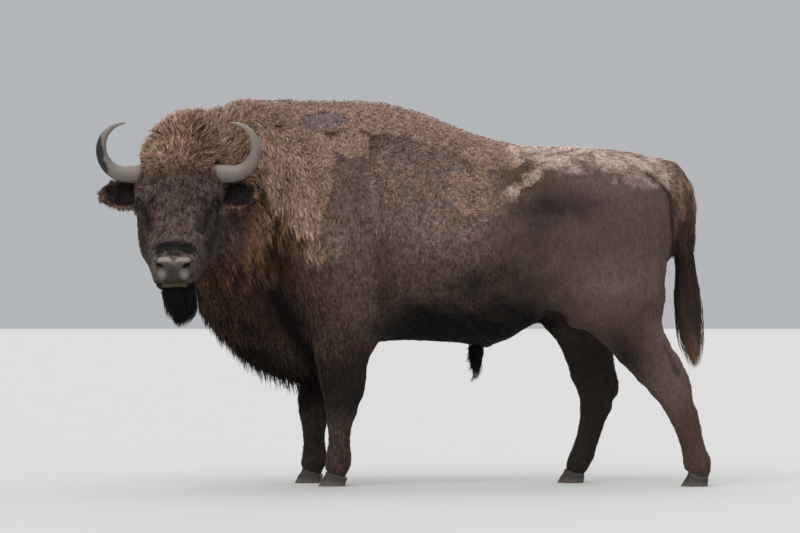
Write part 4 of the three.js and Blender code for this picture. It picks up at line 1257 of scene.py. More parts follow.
    def _body_mesh(self) -> Mesh:
        """All the flesh but the ears as one even mesh, with the facets smoothed away."""
        solid = [n for n in self.FLESH if n not in self.EARS]
        hooves = [n for n in self.frame["nodes"] if "hoof" in n]
        shell = self._copy([*solid, *self.EYES, *hooves], self.swell)
        for side in ("left", "right"):
            self._plug(shell, side)
        piece = object_of("flesh", taken(shell, "flesh"))
        remesh = piece.modifiers.new("even", "REMESH")
        remesh.mode = "VOXEL"
        remesh.voxel_size = self.voxel
        shown = piece.evaluated_get(bpy.context.evaluated_depsgraph_get())
        made = bpy.data.meshes.new_from_object(shown)
        bpy.data.objects.remove(piece)
        p = self.survey.of(points_of(made))
        thin = np.maximum(smooth(p.side[:, 2], 0.62, 0.50), smooth(p.side[:, 0], 1.16, 1.22))
        on_head = smooth(p.local[:, 2], -0.30, -0.20) * smooth(p.local[:, 1], -0.1, 0.0)
        foot = smooth(p.world[:, 2], 0.14, 0.10)
        share = 1.0 - np.maximum.reduce([0.35 * thin, 0.65 * on_head, 0.75 * foot])
        relax(made, self.facet_rounds, share, self.BODY_VOLUME)
        relax(made, 2, 1.0 - 0.6 * np.maximum(thin, on_head))
        put_points(made, points_of(made) - self.swell * normals_of(made))
        return made

    def _plug(self, shell: BMesh, side: str) -> None:
        """Fills the socket that a horn leaves in the head."""
        low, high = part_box("horn_" + side)
        hand = 1 if side == "left" else -1
        at = self.survey.head.out(np.array(self.PLUG) * (hand, 1, 1))
        at[2] = np.clip(at[2], low.z, high.z)
        place = Matrix.Translation(at)
        bmesh.ops.create_icosphere(shell, subdivisions=3, radius=self.PLUG_RADIUS, matrix=place)

    def _draw_in(self, mesh: Mesh) -> None:
        """Draws the skin in by the depth of the coat, and well inside the hooves."""
        points = points_of(mesh)
        depth = self.plan.at(self.survey.of(points)).depth
        above = above_hoof(self.frame, points)
        depth = depth + self.TUCK * smooth(above, 0.004, -0.006)
        points -= depth[:, None] * normals_of(mesh)
        points[:, 2] = np.maximum(points[:, 2], self.SOLE_GAP)
        put_points(mesh, points)
        relax(mesh, 3, smooth(depth, 0.010, 0.020) * smooth(above, 0.0, 0.1))

    def _near_head(self, p: Places) -> Array:
        """The face and the forehead."""
        return (p.local[:, 2] > -0.24) & (p.face[:, 0] < 0.26) & (p.local[:, 1] > -0.02)

    def _near_features(self, p: Places) -> Array:
        """The muzzle, its folds and the surroundings of the eyes."""
        muzzle = (p.local[:, 1] > 0.36) & (p.local[:, 2] > -0.22)
        return muzzle | (p.from_eye() < 0.070)

    def _near_openings(self, p: Places) -> Array:
        """The nose pad, the nostrils, the lips and the lids."""
        drop = drop_of(p.local)
        nose = (drop > 0.355) & (drop < 0.520) & (p.face[:, 0] < 0.105) & (p.local[:, 2] > -0.16)
        return nose | (p.from_eye() < 0.040)

    def _refine(self, mesh: Mesh, chosen: Callable[[Places], Array]) -> None:
        """Halves the size of the faces in a place, and evens them out."""
        work = bmesh.new()
        work.from_mesh(mesh)
        flags = chosen(self.survey.of(np.array([v.co[:] for v in work.verts])))
        for vertex, flag in zip(work.verts, flags, strict=True):
            vertex.tag = bool(flag)
        edges = [e for e in work.edges if e.verts[0].tag and e.verts[1].tag]
        bmesh.ops.subdivide_edges(work, edges=edges, cuts=1, use_grid_fill=True)
        work.to_mesh(mesh)
        work.free()
        mesh.update()
        flags = chosen(self.survey.of(points_of(mesh)))
        relax(mesh, 2, self.evened * flags.astype(float), self.REFINED_VOLUME)

    def _shape(self, mesh: Mesh) -> None:
        """Adds the folds, hollows and bones that show, and the eyes' sockets, nostrils and mouth."""
        points, normals = points_of(mesh), normals_of(mesh)
        p = self.survey.of(points)
        rise = np.zeros(len(points))
        for fold in (*self.FOLDS, *self.FACE_FOLDS):
            rise += fold.rise(p)
        along = p.side[:, 0] + self.RIB_LEAN * (p.side[:, 2] - 1.1)
        rise += self.RIB_HEIGHT * np.sin(along * 2 * math.pi / self.RIB_PITCH) * p.share(self.RIBS)
        dents = Noise(self.DENT_SEED).at(points, self.DENT_SIZE, 3)
        rise += self.DENT_HEIGHT * dents * smooth(-p.local[:, 2], 0.15, 0.3)
        put_points(mesh, points + rise[:, None] * normals)
        self._carve_nose(mesh)
        self._sink_eyes(mesh)

    def _carve_nose(self, mesh: Mesh) -> None:
        """The pad with its rim, the comma-shaped nostrils, the lips and the folds above the nose."""
        points, normals = points_of(mesh), normals_of(mesh)
        p = self.survey.of(points)
        u, _, w = p.face.T
        drop = drop_of(p.local)
        front = smooth(w, -0.24, -0.19) * p.on_head()
        arch = drop - 2.4 * u**2
        rise = -0.0040 * bump_of(arch - 0.315, 0.012) * smooth(u, 0.105, 0.08)
        rise += -0.0045 * bump_of(arch - 0.352, 0.007) * smooth(u, 0.085, 0.06)
        rise += 0.0035 * bump_of(arch - 0.335, 0.008) * smooth(u, 0.10, 0.075)
        rise += 0.0035 * Markings.pad(p)[0]
        rise += -0.0030 * bump_of(u, 0.0035) * smooth(drop, 0.40, 0.42) * smooth(drop, 0.485, 0.47)
        mouth = drop - LIP_LINE - 0.10 * np.maximum(u - 0.03, 0)
        rise += -0.010 * bump_of(mouth, 0.0042) * smooth(u, 0.095, 0.080)
        rise += 0.0045 * bump_of(drop - LIP_LINE - 0.012, 0.008) * smooth(u, 0.075, 0.055)
        rise += 0.0040 * bump_of(np.hypot((u - 0.060) / 1.2, drop - 0.450), 0.022)

        du, dd = u - self.NOSTRIL_AT[0], drop - self.NOSTRIL_AT[1]
        a = du * math.cos(self.NOSTRIL_SLANT) - dd * math.sin(self.NOSTRIL_SLANT)
        b = du * math.sin(self.NOSTRIL_SLANT) + dd * math.cos(self.NOSTRIL_SLANT)
        ring = np.hypot(a / self.NOSTRIL_HALF[0], b / self.NOSTRIL_HALF[1])
        tail = distance_to(np.stack([a, b, 0 * a], axis=1), (0.008, -0.003, 0), (0.030, -0.006, 0))
        hole = np.maximum(smooth(ring, 1.12, 0.70), 0.45 * smooth(tail, 0.0050, 0.0020))
        rise += 0.0034 * bump_of(ring - 1.34, 0.28)
        inwards = self.survey.head.turned(self.NOSTRIL_WAY)
        move = (rise * front)[:, None] * normals + (self.NOSTRIL_DEPTH * hole * front)[:, None] * inwards
        put_points(mesh, points + move)

    def _sink_eyes(self, mesh: Mesh) -> None:
        """Sinks the skin behind the eyeballs inside the lids, and raises the rims of the lids."""
        points = points_of(mesh)
        eye = EyeShape()
        for hand in (-1, 1):
            long, tall, out = eye.axes(self.survey.head, hand)
            centre = self.survey.head.eye(hand)
            rel = points - centre
            a, b, g = rel @ long, rel @ tall, rel @ out
            near = (np.linalg.norm(rel, axis=1) < 0.065) & (g > -0.03)
            ring = np.maximum(np.hypot(a / eye.half_long, b / eye.half_tall), 1e-6)
            edge = np.hypot(a, b) / np.maximum(ring, 1.0)
            lift = np.sqrt(np.maximum(eye.radius**2 - edge**2, 1e-6))
            outside = lift + 0.0024 - 0.0030 * smooth(ring, 1.3, 2.4)
            wanted = np.where(ring < 1.0, lift - 0.0075 * smooth(ring, 1.0, 0.80), outside)
            pull = near * smooth(ring, 2.7, 1.25)
            points += (pull * (wanted - g))[:, None] * out
        put_points(mesh, points)

    def _add_lids(self, piece: Object) -> None:
        """Joins the rolled rims of the lids to the skin."""
        eye = EyeShape()
        work = bmesh.new()
        work.from_mesh(piece.data)
        for hand in (-1, 1):
            eye.lid(work, self.survey.head, hand)
        work.to_mesh(piece.data)
        work.free()

    def _add_ears(self, piece: Object) -> None:
        """Joins the ears, made finer and thinned by their hair's depth, to the skin."""
        work = bmesh.new()
        work.from_mesh(piece.data)
        ears = self._copy(self.EARS, 0.0)
        bmesh.ops.subdivide_edges(ears, edges=ears.edges, cuts=2, use_grid_fill=True)
        eased(ears, ears.verts, 4)
        ears.normal_update()
        for vertex in ears.verts:
            vertex.co -= vertex.normal * self.EAR_DEPTH
        scratch = taken(ears, "ears")
        work.from_mesh(scratch)
        work.to_mesh(piece.data)
        work.free()
        bpy.data.meshes.remove(scratch)


# ---- eyes


@dataclass(frozen=True)
class EyeShape:
    """An eyeball and its lids.

    Attributes:
        radius: Of the ball.
        half_long: Half the length of the opening between the lids.
        half_tall: Half its height.
        looks: The way that it faces, in the head's axes.
        slant: How far its long direction leans.
    """

    radius: float = 0.022
    half_long: float = 0.0195
    half_tall: float = 0.0116
    looks: tuple[float, float, float] = (0.66, 0.08, 0.75)
    slant: float = math.radians(-24)

    # Steps round a lid and round its roll, the cornea's rise, and the pupil's half sizes.
    LID_STEPS, LID_SIDES = 40, 8
    CORNEA, PUPIL = 0.035, (0.0088, 0.0052)

    def axes(self, head: Head, hand: int) -> tuple[Array, Array, Array]:
        """The eye's long, upright and outward directions."""
        out = unit(head.turned(np.array(self.looks) * (hand, 1, 1)))
        up = unit(UP - out * out[2])
        along = np.cross(up, out)
        along = along * np.sign(along @ head.axes[0]) * -hand
        long = math.cos(self.slant) * along + math.sin(self.slant) * up
        return long, unit(np.cross(out, long)) * np.sign(np.cross(out, long) @ up), out

    def lid(self, work: BMesh, head: Head, hand: int) -> None:
        """Adds the rolled rim of the lids, thicker above, as a closed ring."""
        long, tall, out = self.axes(head, hand)
        centre = head.eye(hand)
        steps, sides = self.LID_STEPS, self.LID_SIDES
        rings = []
        for i in range(steps):
            turn = 2 * math.pi * i / steps
            a = self.half_long * math.cos(turn) * 1.02
            b = self.half_tall * math.sin(turn) * (1.0 - 0.12 * math.cos(turn) ** 2)
            thick = 0.0022 + 0.0024 * max(math.sin(turn), 0.0)
            lift = math.sqrt(max(self.radius**2 - a * a - b * b, 0.0)) + 0.0006
            spot = centre + a * long + b * tall + lift * out
            outward = unit(a * long + b * tall)
            ring = []
            for s in range(sides):
                angle = 2 * math.pi * s / sides
                offset = thick * (math.cos(angle) * outward * 1.25 + math.sin(angle) * out)
                ring.append(work.verts.new(spot + outward * thick + offset))
            rings.append(ring)
        for i in range(steps):
            a, b = rings[i], rings[(i + 1) % steps]
            for s in range(sides):
                corners = (a[s], b[s], b[(s + 1) % sides], a[(s + 1) % sides])
                work.faces.new(corners if hand < 0 else corners[::-1])

    def ball(self, head: Head, hand: int) -> Mesh:
        """The eyeball with a slight cornea, and the shares of its iris and pupil."""
        long, tall, out = self.axes(head, hand)
        centre = head.eye(hand)
        work = bmesh.new()
        bmesh.ops.create_uvsphere(work, u_segments=48, v_segments=32, radius=self.radius)
        mesh = taken(work, "eyeball")
        points = points_of(mesh)
        front = points[:, 2] / self.radius
        around = np.hypot(points[:, 0], points[:, 1]) / self.radius
        points *= (1 + self.CORNEA * smooth(around, 0.75, 0.35) * (front > 0))[:, None]
        store(mesh, "iris", smooth(around, 0.80, 0.74) * (front > 0))
        pupil = np.hypot(points[:, 0] / self.PUPIL[0], points[:, 1] / self.PUPIL[1])
        store(mesh, "pupil", smooth(pupil, 1.05, 0.9) * (front > 0))
        turn = np.array((long, tall, out))
        if np.linalg.det(turn) < 0:
            points[:, 0] *= -1
            mesh.flip_normals()
        put_points(mesh, centre + points @ turn)
        mesh.shade_smooth()
        return mesh


# ---- coat


@dataclass(frozen=True)
class Roots:
    """Where the locks of one piece of coat grow.

    Attributes:
        points: Places on the skin.
        normals: The skin's outward directions there.
        patches: Places on the unwrapped skin.
    """

    points: Array
    normals: Array
    patches: Array


def unwrapped(mesh: Mesh, triangles: Array, points: Array) -> Array:
    """Unwraps part of a surface on its own.

    Args:
        mesh: Any mesh, whose name the scratch copy takes.
        triangles: The part's triangles.
        points: The surface's points.

    Returns:
        The places of each triangle's corners on the unwrap, from 0 to 1.
    """
    used, inverse = np.unique(triangles.ravel(), return_inverse=True)
    scratch = mesh_of(mesh.name + "_unwrap", points[used], inverse.reshape(-1, 3))
    scratch.uv_layers.new(name="flat")
    piece = object_of("unwrap", scratch)
    bpy.context.view_layer.objects.active = piece
    piece.select_set(True)
    bpy.ops.object.mode_set(mode="EDIT")
    bpy.ops.mesh.select_all(action="SELECT")
    bpy.ops.uv.smart_project(angle_limit=math.radians(66), island_margin=0.004)
    bpy.ops.object.mode_set(mode="OBJECT")
    flat = np.zeros(2 * len(scratch.loops), np.float32)
    scratch.uv_layers["flat"].data.foreach_get("uv", flat)
    bpy.data.objects.remove(piece)
    bpy.data.meshes.remove(scratch)
    return flat.reshape(-1, 3, 2).astype(float)


@dataclass
class Locks:
    """Tapered three-sided locks of hair, gathered into one mesh.

    Attributes:
        rings: Number of rings from the root to just before the tip.
        patch: Size of a lock's patch on the bake map.
    """

    rings: int
    patch: float = 0.003

    # How much a lock is shaded as the skin under it is, and how much by its own sides.
    SOFT, OWN = 0.72, 0.28

    def keep_each(self, mesh: Mesh, values: dict[str, Array]) -> None:
        """Keeps numbers on the mesh that are the same all over a lock."""
        for name, own in values.items():
            store(mesh, name, np.repeat(own, 3 * self.rings + 1))

    def mesh(self, name: str, spines: Array, ups: Array, width: Array, patches: Array, blunt: float) -> Mesh:
        """Builds the locks.

        Args:
            name: The mesh's name.
            spines: Middle points along each lock, root first and tip last.
            ups: The outward direction at each of those points.
            width: Each lock's width.
            patches: Each lock's place on the bake map.
            blunt: How long a lock keeps its width, from 0 to 1.

        Returns:
            The mesh, with the share of the way along each lock kept on it.
        """
        count, stops = spines.shape[:2]
        ahead = np.empty_like(spines)
        ahead[:, 1:-1] = spines[:, 2:] - spines[:, :-2]
        ahead[:, 0] = spines[:, 1] - spines[:, 0]
        ahead[:, -1] = spines[:, -1] - spines[:, -2]
        ahead = unit(ahead)
        across = unit(np.cross(ahead, ups))
        above = np.cross(across, ahead)
        t = np.linspace(0, 1, stops)
        girth = (0.75 + 0.5 * np.minimum(t / 0.3, 1.0)) * (1 - t ** (1 + 2 * blunt)) / 1.1
        half = 0.5 * width[:, None] * girth[None, :]
        sides = ((-1.0, -0.35), (1.0, -0.35), (0.0, 0.75))
        rings = [spines + half[..., None] * (s * across + c * above) for s, c in sides]
        body = np.stack(rings, axis=2)[:, :-1].reshape(count, -1, 3)
        points = np.concatenate([body, spines[:, -1:]], axis=1)
        per = points.shape[1]

        faces = [(0, 1, 2)]
        for k in range(stops - 2):
            for s in range(3):
                a, b = 3 * k + s, 3 * k + (s + 1) % 3
                faces += [(a, a + 3, b), (b, a + 3, b + 3)]
        last = 3 * (stops - 2)
        faces += [(last + s, per - 1, last + (s + 1) % 3) for s in range(3)]
        pattern = np.array(faces)
        triangles = (pattern[None] + per * np.arange(count)[:, None, None]).reshape(-1, 3)
        mesh = mesh_of(name, points.reshape(-1, 3), triangles)

        along = np.append(np.repeat(t[:-1], 3), 1.0)
        shift = np.append(np.tile((-0.5, 0.5, 0.0), stops - 1), 0.0)
        local = np.stack([shift, along - 0.5], axis=1) * self.patch
        spots = (patches[:, None, :] + local[None]).reshape(-1, 2)
        layer = mesh.uv_layers.new(name="OFBake")
        layer.data.foreach_set("uv", spots[triangles.ravel()].astype(np.float32).ravel())
        store(mesh, "along", np.tile(along, count))

        soft = np.repeat(ups[:, :-1], 3, axis=1)
        own = unit(body - np.repeat(spines[:, :-1], 3, axis=1))
        shade = unit(self.SOFT * soft + self.OWN * own)
        shade = np.concatenate([shade, ups[:, -1:]], axis=1).reshape(-1, 3)
        mesh.shade_smooth()
        mesh.normals_split_custom_set_from_vertices(shade.astype(np.float32))
        return mesh


@dataclass
class Coat:
    """All the hair that grows along the skin.

    Attributes:
        frame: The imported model.
        survey: The animal's places.
        skin: The skin that it grows on.
        plan: How it grows.
        material: Its finish.
    """

    frame: dict
    survey: Survey
    skin: Object
    plan: CoatPlan
    material: Material
    surface: Surface = field(init=False)
    rng: np.random.Generator = field(init=False)

    MOST, SEED, CLUMP_SEED = 198_000, 7, 60
    # Roots tried for each one wanted, a cell's width as a share of the spacing, and the steps between grids.
    TRIES, CELL, BAND, CLUMP_BAND = 2.2, 0.86, 0.12, 0.3
    # The lengths from which a lock has one step more, and how long a lock keeps its width.
    LONGER, BLUNT = (0.030, 0.050), 0.25
    # No lock grows where it is wetter, or nearer to an eye's opening or a hoof's top edge, than these.
    WETTEST, EYE_GAP, HOOF_GAP = 0.3, 1.0, 0.003
    # The share of locks left out on bare places, and how much of a lock's shade is its own or its clump's.
    THINNED, OWN_SHADE, CLUMP_SHADE = 0.55, 0.55, 0.45
    # What fleece and wool add: shorter, lifted higher, curlier, wider, and less in line.
    SHORTER, LIFTED, CURLIER, WIDER, ASTRAY = 0.38, math.radians(22), 0.003, 0.15, 0.75
    # How far a root stands off the skin: added in fleece, added in wool, and anywhere.
    ROOT_HEIGHTS = (0.0060, 0.0020, -0.0020)
    # How much a lock lies down towards its tip, and its waves.
    LEVELLED, WAVES = 0.75, 0.8

    def __post_init__(self) -> None:
        """Readies the skin for searching."""
        self.surface = Surface(self.skin.data)
        self.rng = np.random.default_rng(self.SEED)

    def build(self) -> None:
        """Grows every piece of the coat, each on its own part of the body."""
        centres = self.surface.points[self.surface.triangles].mean(axis=1)
        p = self.survey.of(centres)
        part = self._parts(p)
        total = 0
        for name in sorted(set(part)):
            total += self._grow_part(name, np.flatnonzero(part == name))
        LOG.info("coat: %d triangles", total)

    def _parts(self, p: Places) -> Array:
        """Names the piece of coat that each face of the skin carries."""
        x, z = p.side[:, 0], p.side[:, 2]
        side = np.where(p.hand < 0, "left", "right")
        part = np.char.add("coat_flank_", side)
        part = np.where(x > 0.52, np.char.add("coat_haunch_", side), part)
        part = np.where(x < -0.08, np.char.add("coat_shoulder_", side), part)
        part = np.where(x < -0.50, np.char.add("coat_neck_", side), part)
        part = np.where((z < 0.66) & (x > -0.40) & (x < -0.05), "coat_forelegs", part)
        part = np.where((z < 0.58) & (x > -0.50) & (x < -0.05), "coat_forelegs", part)
        part = np.where((z < 0.68) & (x > 0.62), "coat_hindlegs", part)
        part = np.where((x > 1.19) & (z > 0.95) & (p.side[:, 1] < 0.075), "coat_tail", part)
        on_head = (p.local[:, 2] > -0.27) & (x < -0.78)
        part = np.where(on_head, "coat_face", part)
        part = np.where(on_head & (p.local[:, 1] < 0.015), "coat_crown", part)
        part = np.where(on_head & (p.local[:, 1] > 0.36), "coat_muzzle", part)
        ear = on_head & (p.face[:, 0] > 0.195) & (p.local[:, 1] > -0.09)
        return np.where(ear, "coat_ears", part)

    def roots(self, chosen: Array) -> Roots:
        """Scatters roots evenly over some faces of the skin, closer where the coat is finer."""
        surface = self.surface
        triangles = surface.triangles[chosen]
        a, b, c = (surface.points[triangles[:, i]] for i in range(3))
        area = 0.5 * np.linalg.norm(np.cross(b - a, c - a), axis=1)
        spacing = self.plan.at(self.survey.of((a + b + c) / 3)).spacing
        wanted = area / spacing**2
        tries = int(self.TRIES * wanted.sum()) + 1
        picked = self.rng.choice(len(chosen), tries, p=wanted / wanted.sum())
        s, t = self.rng.random((2, tries))
        fold = s + t > 1
        s, t = np.where(fold, 1 - s, s), np.where(fold, 1 - t, t)
        shares = np.stack([1 - s - t, s, t], axis=1)
        points = np.einsum("ij,ijk->ik", shares, np.stack([a, b, c], axis=1)[picked])
        band = np.round(np.log(spacing[picked]) / self.BAND).astype(np.int64)
        cell = np.floor(points / (self.CELL * np.exp(self.BAND * band))[:, None]).astype(np.int64)
        _, kept = np.unique(cell_codes(cell, band), return_index=True)
        kept = np.sort(kept)
        normals = unit(np.einsum("ij,ijk->ik", shares, surface.normals[triangles[picked]]))
        flat = unwrapped(self.skin.data, triangles, surface.points)
        patches = np.einsum("ij,ijk->ik", shares, flat[picked])
        return Roots(points[kept], normals[kept], patches[kept])

    def _grow_part(self, name: str, chosen: Array) -> int:
        """Grows one piece of the coat.

        Args:
            name: The piece's name.
            chosen: The faces of the skin that it grows on.

        Returns:
            How many triangles it has.
        """
        roots = self.roots(chosen)
        p = self.survey.of(roots.points)
        marks = Markings().at(p)
        above = above_hoof(self.frame, roots.points)
        free = (marks["wet"] < self.WETTEST) & (self._open_eye(p) > self.EYE_GAP) & (above > self.HOOF_GAP)
        keep = np.flatnonzero(free & (self.rng.random(len(free)) > self.THINNED * marks["bare"]))
        typical = float(np.median(self.plan.at(p).length))
        rings = 2 + sum(typical > length for length in self.LONGER)
        per = 6 * (rings - 1) + 4
        if len(keep) * per > self.MOST:
            LOG.info("%s thinned from %d locks", name, len(keep))
            keep = np.sort(self.rng.choice(keep, self.MOST // per, replace=False))
        roots = Roots(roots.points[keep], roots.normals[keep], roots.patches[keep])
        p = self.survey.of(roots.points)
        marks = {key: values[keep] for key, values in marks.items()}
        grown = self.plan.at(p)
        long = smooth(grown.length, 0.035, 0.070)
        clump = self._clumps(roots.points, grown.spacing * (2.0 + 1.0 * long))
        spines, ups, width = self._spines(roots, grown, marks, rings)
        spines = self._gathered(spines, clump, 0.30 + 0.25 * long)
        mesh = Locks(rings).mesh(name, spines, ups, width, roots.patches, self.BLUNT)
        chance = self.OWN_SHADE * self.rng.random(len(keep))
        chance += self.CLUMP_SHADE * self.rng.random(clump.max() + 1)[clump]
        Locks(rings).keep_each(mesh, {**marks, "chance": chance})
        dressed(object_of(name, mesh), self.material)
        return len(mesh.polygons)

    def _clumps(self, points: Array, size: Array) -> Array:
        """Gives neighbouring locks the number of the clump that they share."""
        wobble = np.stack([Noise(self.CLUMP_SEED + axis).at(points, 0.05, 2) for axis in range(3)], axis=1)
        band = np.round(np.log(size) / self.CLUMP_BAND).astype(np.int64)
        cell = np.floor(points / np.exp(self.CLUMP_BAND * band)[:, None] + 0.8 * wobble).astype(np.int64)
        return np.unique(cell_codes(cell, band), return_inverse=True)[1].ravel()

    @staticmethod
    def _gathered(spines: Array, clump: Array, pull: Array) -> Array:
        """Draws the locks of each clump together towards their tips."""
        share = np.bincount(clump)
        stops = spines.shape[1]
        made = spines.copy()
        for k in range(1, stops):
            t = k / (stops - 1)
            middle = np.stack([np.bincount(clump, spines[:, k, i]) / share for i in range(3)], axis=1)
            made[:, k] += (pull * t**1.3)[:, None] * (middle[clump] - spines[:, k])
        return made

    def _open_eye(self, p: Places) -> Array:
        """Distance from the opening of the nearer eye, as a share of the opening."""
        shape = EyeShape()
        rings = []
        for hand in (-1, 1):
            long, tall, _ = shape.axes(self.survey.head, hand)
            rel = p.world - self.survey.head.eye(hand)
            ring = np.hypot(rel @ long / shape.half_long, rel @ tall / shape.half_tall)
            rings.append(np.where(np.linalg.norm(rel, axis=1) < 0.05, ring / 1.25, 9.0))
        return np.minimum(*rings)

    def _spines(self, roots: Roots, grown: Grown, marks: dict, rings: int) -> tuple[Array, Array, Array]:
        """Lays each lock along the skin, following the lie of the coat.

        Args:
            roots: Where the locks grow.
            grown: The coat's numbers there.
            marks: The markings there.
            rings: Steps along a lock.

        Returns:
            The middle points of the locks, the outward directions there and the widths.
        """
        count = len(roots.points)
        lie = Lie(self.survey)
        wool = np.clip(marks["wool"] + marks["pale"] * 0.8, 0, 1)
        varied = self.rng.random((4, count))
        fleece = wool * smooth(grown.length, 0.055, 0.035)
        length = grown.length * (0.65 + 0.7 * varied[0]) * (1 - self.SHORTER * fleece)
        lift = (grown.lift + self.LIFTED * fleece) * (0.50 + 1.0 * varied[1])
        curl = (grown.curl + self.CURLIER * wool) * (0.4 + 1.2 * varied[2])
        width = grown.width * (0.75 + 0.5 * varied[3]) * (1 + self.WIDER * wool)
        phase = self.rng.random(count) * 2 * math.pi
        stray = self.rng.normal(0, 1, (count, 3)) * (grown.stray + self.ASTRAY * fleece)[:, None]
        base, normal = roots.points, roots.normals
        in_fleece, in_wool, anywhere = self.ROOT_HEIGHTS
        height = in_fleece * fleece + in_wool * wool + anywhere
        spines = [base + normal * height[:, None]]
        ups = [normal]
        step = length / rings
        for k in range(1, rings + 1):
            t = k / rings
            way = lie.at(base, normal)
            way = way + stray - normal * np.sum(stray * normal, axis=1, keepdims=True)
            way = unit(way)
            angle = lift * (1.0 - self.LEVELLED * (t - 0.5 / rings))
            base, normal = self.surface.nearest(base + way * (step * np.cos(angle))[:, None])
            height = height + step * np.sin(angle)
            wave = curl * np.sin(phase + 2 * math.pi * self.WAVES * t) * t
            side = unit(np.cross(way, normal))
            spines.append(base + normal * height[:, None] + side * wave[:, None])
            ups.append(normal)
        return np.stack(spines, axis=1), np.stack(ups, axis=1), width


# ---- hanging hair


@dataclass(frozen=True)
class Hank:
    """A hanging mass of long hair that parts into hanks towards its tips.

    Attributes:
        name: The piece's name.
        node: The solid whose place it takes.
        strands: Number of locks.
        width: Width of a lock.
        rings: Steps along a lock.
        seed: Picks its own randomness.
        middle: The shares of the named colours in most of it.
        ends: The same at its foot and, where it climbs another solid, at its top.
        above: The solid that it hangs from, where locks start on that one too.
        ragged: Share of its height over which the hanks end.
        gather: How far the locks of a hank close up.
        bib: How much lower the locks on its front start.
    """

    name: str
    node: str
    strands: int
    width: float
    rings: int
    seed: int
    middle: dict
    ends: dict
    above: str = ""
    ragged: float = 0.35
    gather: float = 0.72
    bib: float = 0.0

    OVERLAP = 0.010
    CLIMB = 0.17
    IN_A_HANK = 38
    # The share of locks that start on the other solid, and how far a lock and a whole hank sway.
    CLIMBERS, SWAY, HANK_SWAY = 0.4, 0.005, 0.010
    # How long a lock keeps its width, the share of the height with the tips' colour, and the roots' fade.
    BLUNT, TIPS, ROOT_FADE = 0.5, 0.45, 0.06
    LEVELS, SLAB = 14, 0.07

    def build(self, frame: dict, material: Material) -> Object:
        """Fills the solid's own space with locks that hang from its top and taper to its tips."""
        rng = np.random.default_rng(self.seed)
        points = points_of(frame["nodes"][self.node].data)
        low, high = points[:, 2].min(), points[:, 2].max()
        levels, table = self._sections(frame, points)
        count = self.strands
        hank = rng.integers(0, max(count // self.IN_A_HANK, 3), count)
        hanks = hank.max() + 1
        angle, own_angle = (rng.random(hanks) * 2 * math.pi)[hank], rng.random(count) * 2 * math.pi
        ray, own_ray = np.sqrt(rng.random(hanks))[hank], np.sqrt(rng.random(count))
        sunk = 1.0 if self.above else 1.10 - own_ray
        start = high + self.OVERLAP - rng.random(count) ** 1.5 * self.ragged * (high - low) * sunk
        start = start - self.bib * smooth(-own_ray * np.sin(own_angle), -0.3, 0.4)
        if self.above:
            start = np.where(rng.random(count) < self.CLIMBERS, high + self.CLIMB * rng.random(count), start)
        end = (rng.random(hanks) ** 1.3 * self.ragged)[hank] + rng.random(count) ** 2 * 0.5 * self.ragged
        end = low + end * (high - low)
        sway = rng.normal(0, self.SWAY, (count, 2)) + rng.normal(0, self.HANK_SWAY, (hanks, 2))[hank]
        phase = (rng.random(hanks) * 2 * math.pi)[hank]
        spines, ups = [], []
        for k in range(self.rings + 1):
            t = k / self.rings
            z = start + (end - start) * t
            row = np.stack([np.interp(z, levels, table[:, i]) for i in range(4)], axis=1)
            pull = self.gather * smooth(np.array(t), 0.05, 0.85)
            away = pull * ray * np.exp(1j * angle) + (1 - pull) * own_ray * np.exp(1j * own_angle)
            x = row[:, 0] + row[:, 2] * away.real + sway[:, 0] * t * np.sin(phase + 5 * t)
            y = row[:, 1] + row[:, 3] * away.imag + sway[:, 1] * t * np.cos(phase + 4 * t)
            spines.append(np.stack([x, y, z], axis=1))
            ups.append(unit(np.stack([away.real, away.imag, 0.12 + 0 * x], axis=1)))
        width = self.width * (0.6 + 0.8 * rng.random(count))
        spots = np.stack([own_angle / (2 * math.pi), (start - low) / (start.max() - low)], axis=1)
        patches = 0.02 + 0.96 * spots
        locks = Locks(self.rings)
        mesh = locks.mesh(self.name, np.stack(spines, 1), np.stack(ups, 1), width, patches, self.BLUNT)
        z = points_of(mesh)[:, 2]
        tip = smooth(z, low + self.TIPS * (high - low), low)
        root = smooth(z, high - self.ROOT_FADE, high + self.CLIMB)
        for key in Markings.NAMES:
            middle, ends = self.middle.get(key, 0.0), self.ends.get(key, 0.0)
            store(mesh, key, middle + (ends - middle) * np.maximum(tip, root))
        chance = 0.5 * rng.random(count) + 0.5 * rng.random(hanks)[hank]
        locks.keep_each(mesh, {"chance": chance})
        piece = dressed(object_of(self.name, mesh), material)
        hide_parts(self.node)
        return piece

    def _sections(self, frame: dict, points: Array) -> tuple[Array, Array]:
        """The middle and half sizes of the mass at levels from its foot to above its top."""
        low, high = points[:, 2].min(), points[:, 2].max()
        levels = np.linspace(low, high, self.LEVELS)
        if self.above:
            higher = points_of(frame["nodes"][self.above].data)
            points = np.concatenate([points, higher[higher[:, 2] < high + 1.5 * self.CLIMB]])
            levels = np.append(levels, high + self.CLIMB * np.array((0.35, 0.7, 1.0)))
        rows = []
        for level in levels:
            near = points[np.abs(points[:, 2] - level) < self.SLAB]
            weight = bump_of(near[:, 2] - level, self.SLAB / 2)[:, None] + 1e-6
            middle = (near[:, :2] * weight).sum(axis=0) / weight.sum()
            spread = np.sqrt(2 * ((near[:, :2] - middle) ** 2 * weight).sum(axis=0) / weight.sum())
            rows.append((*middle, *spread))
        return levels, np.array(rows)


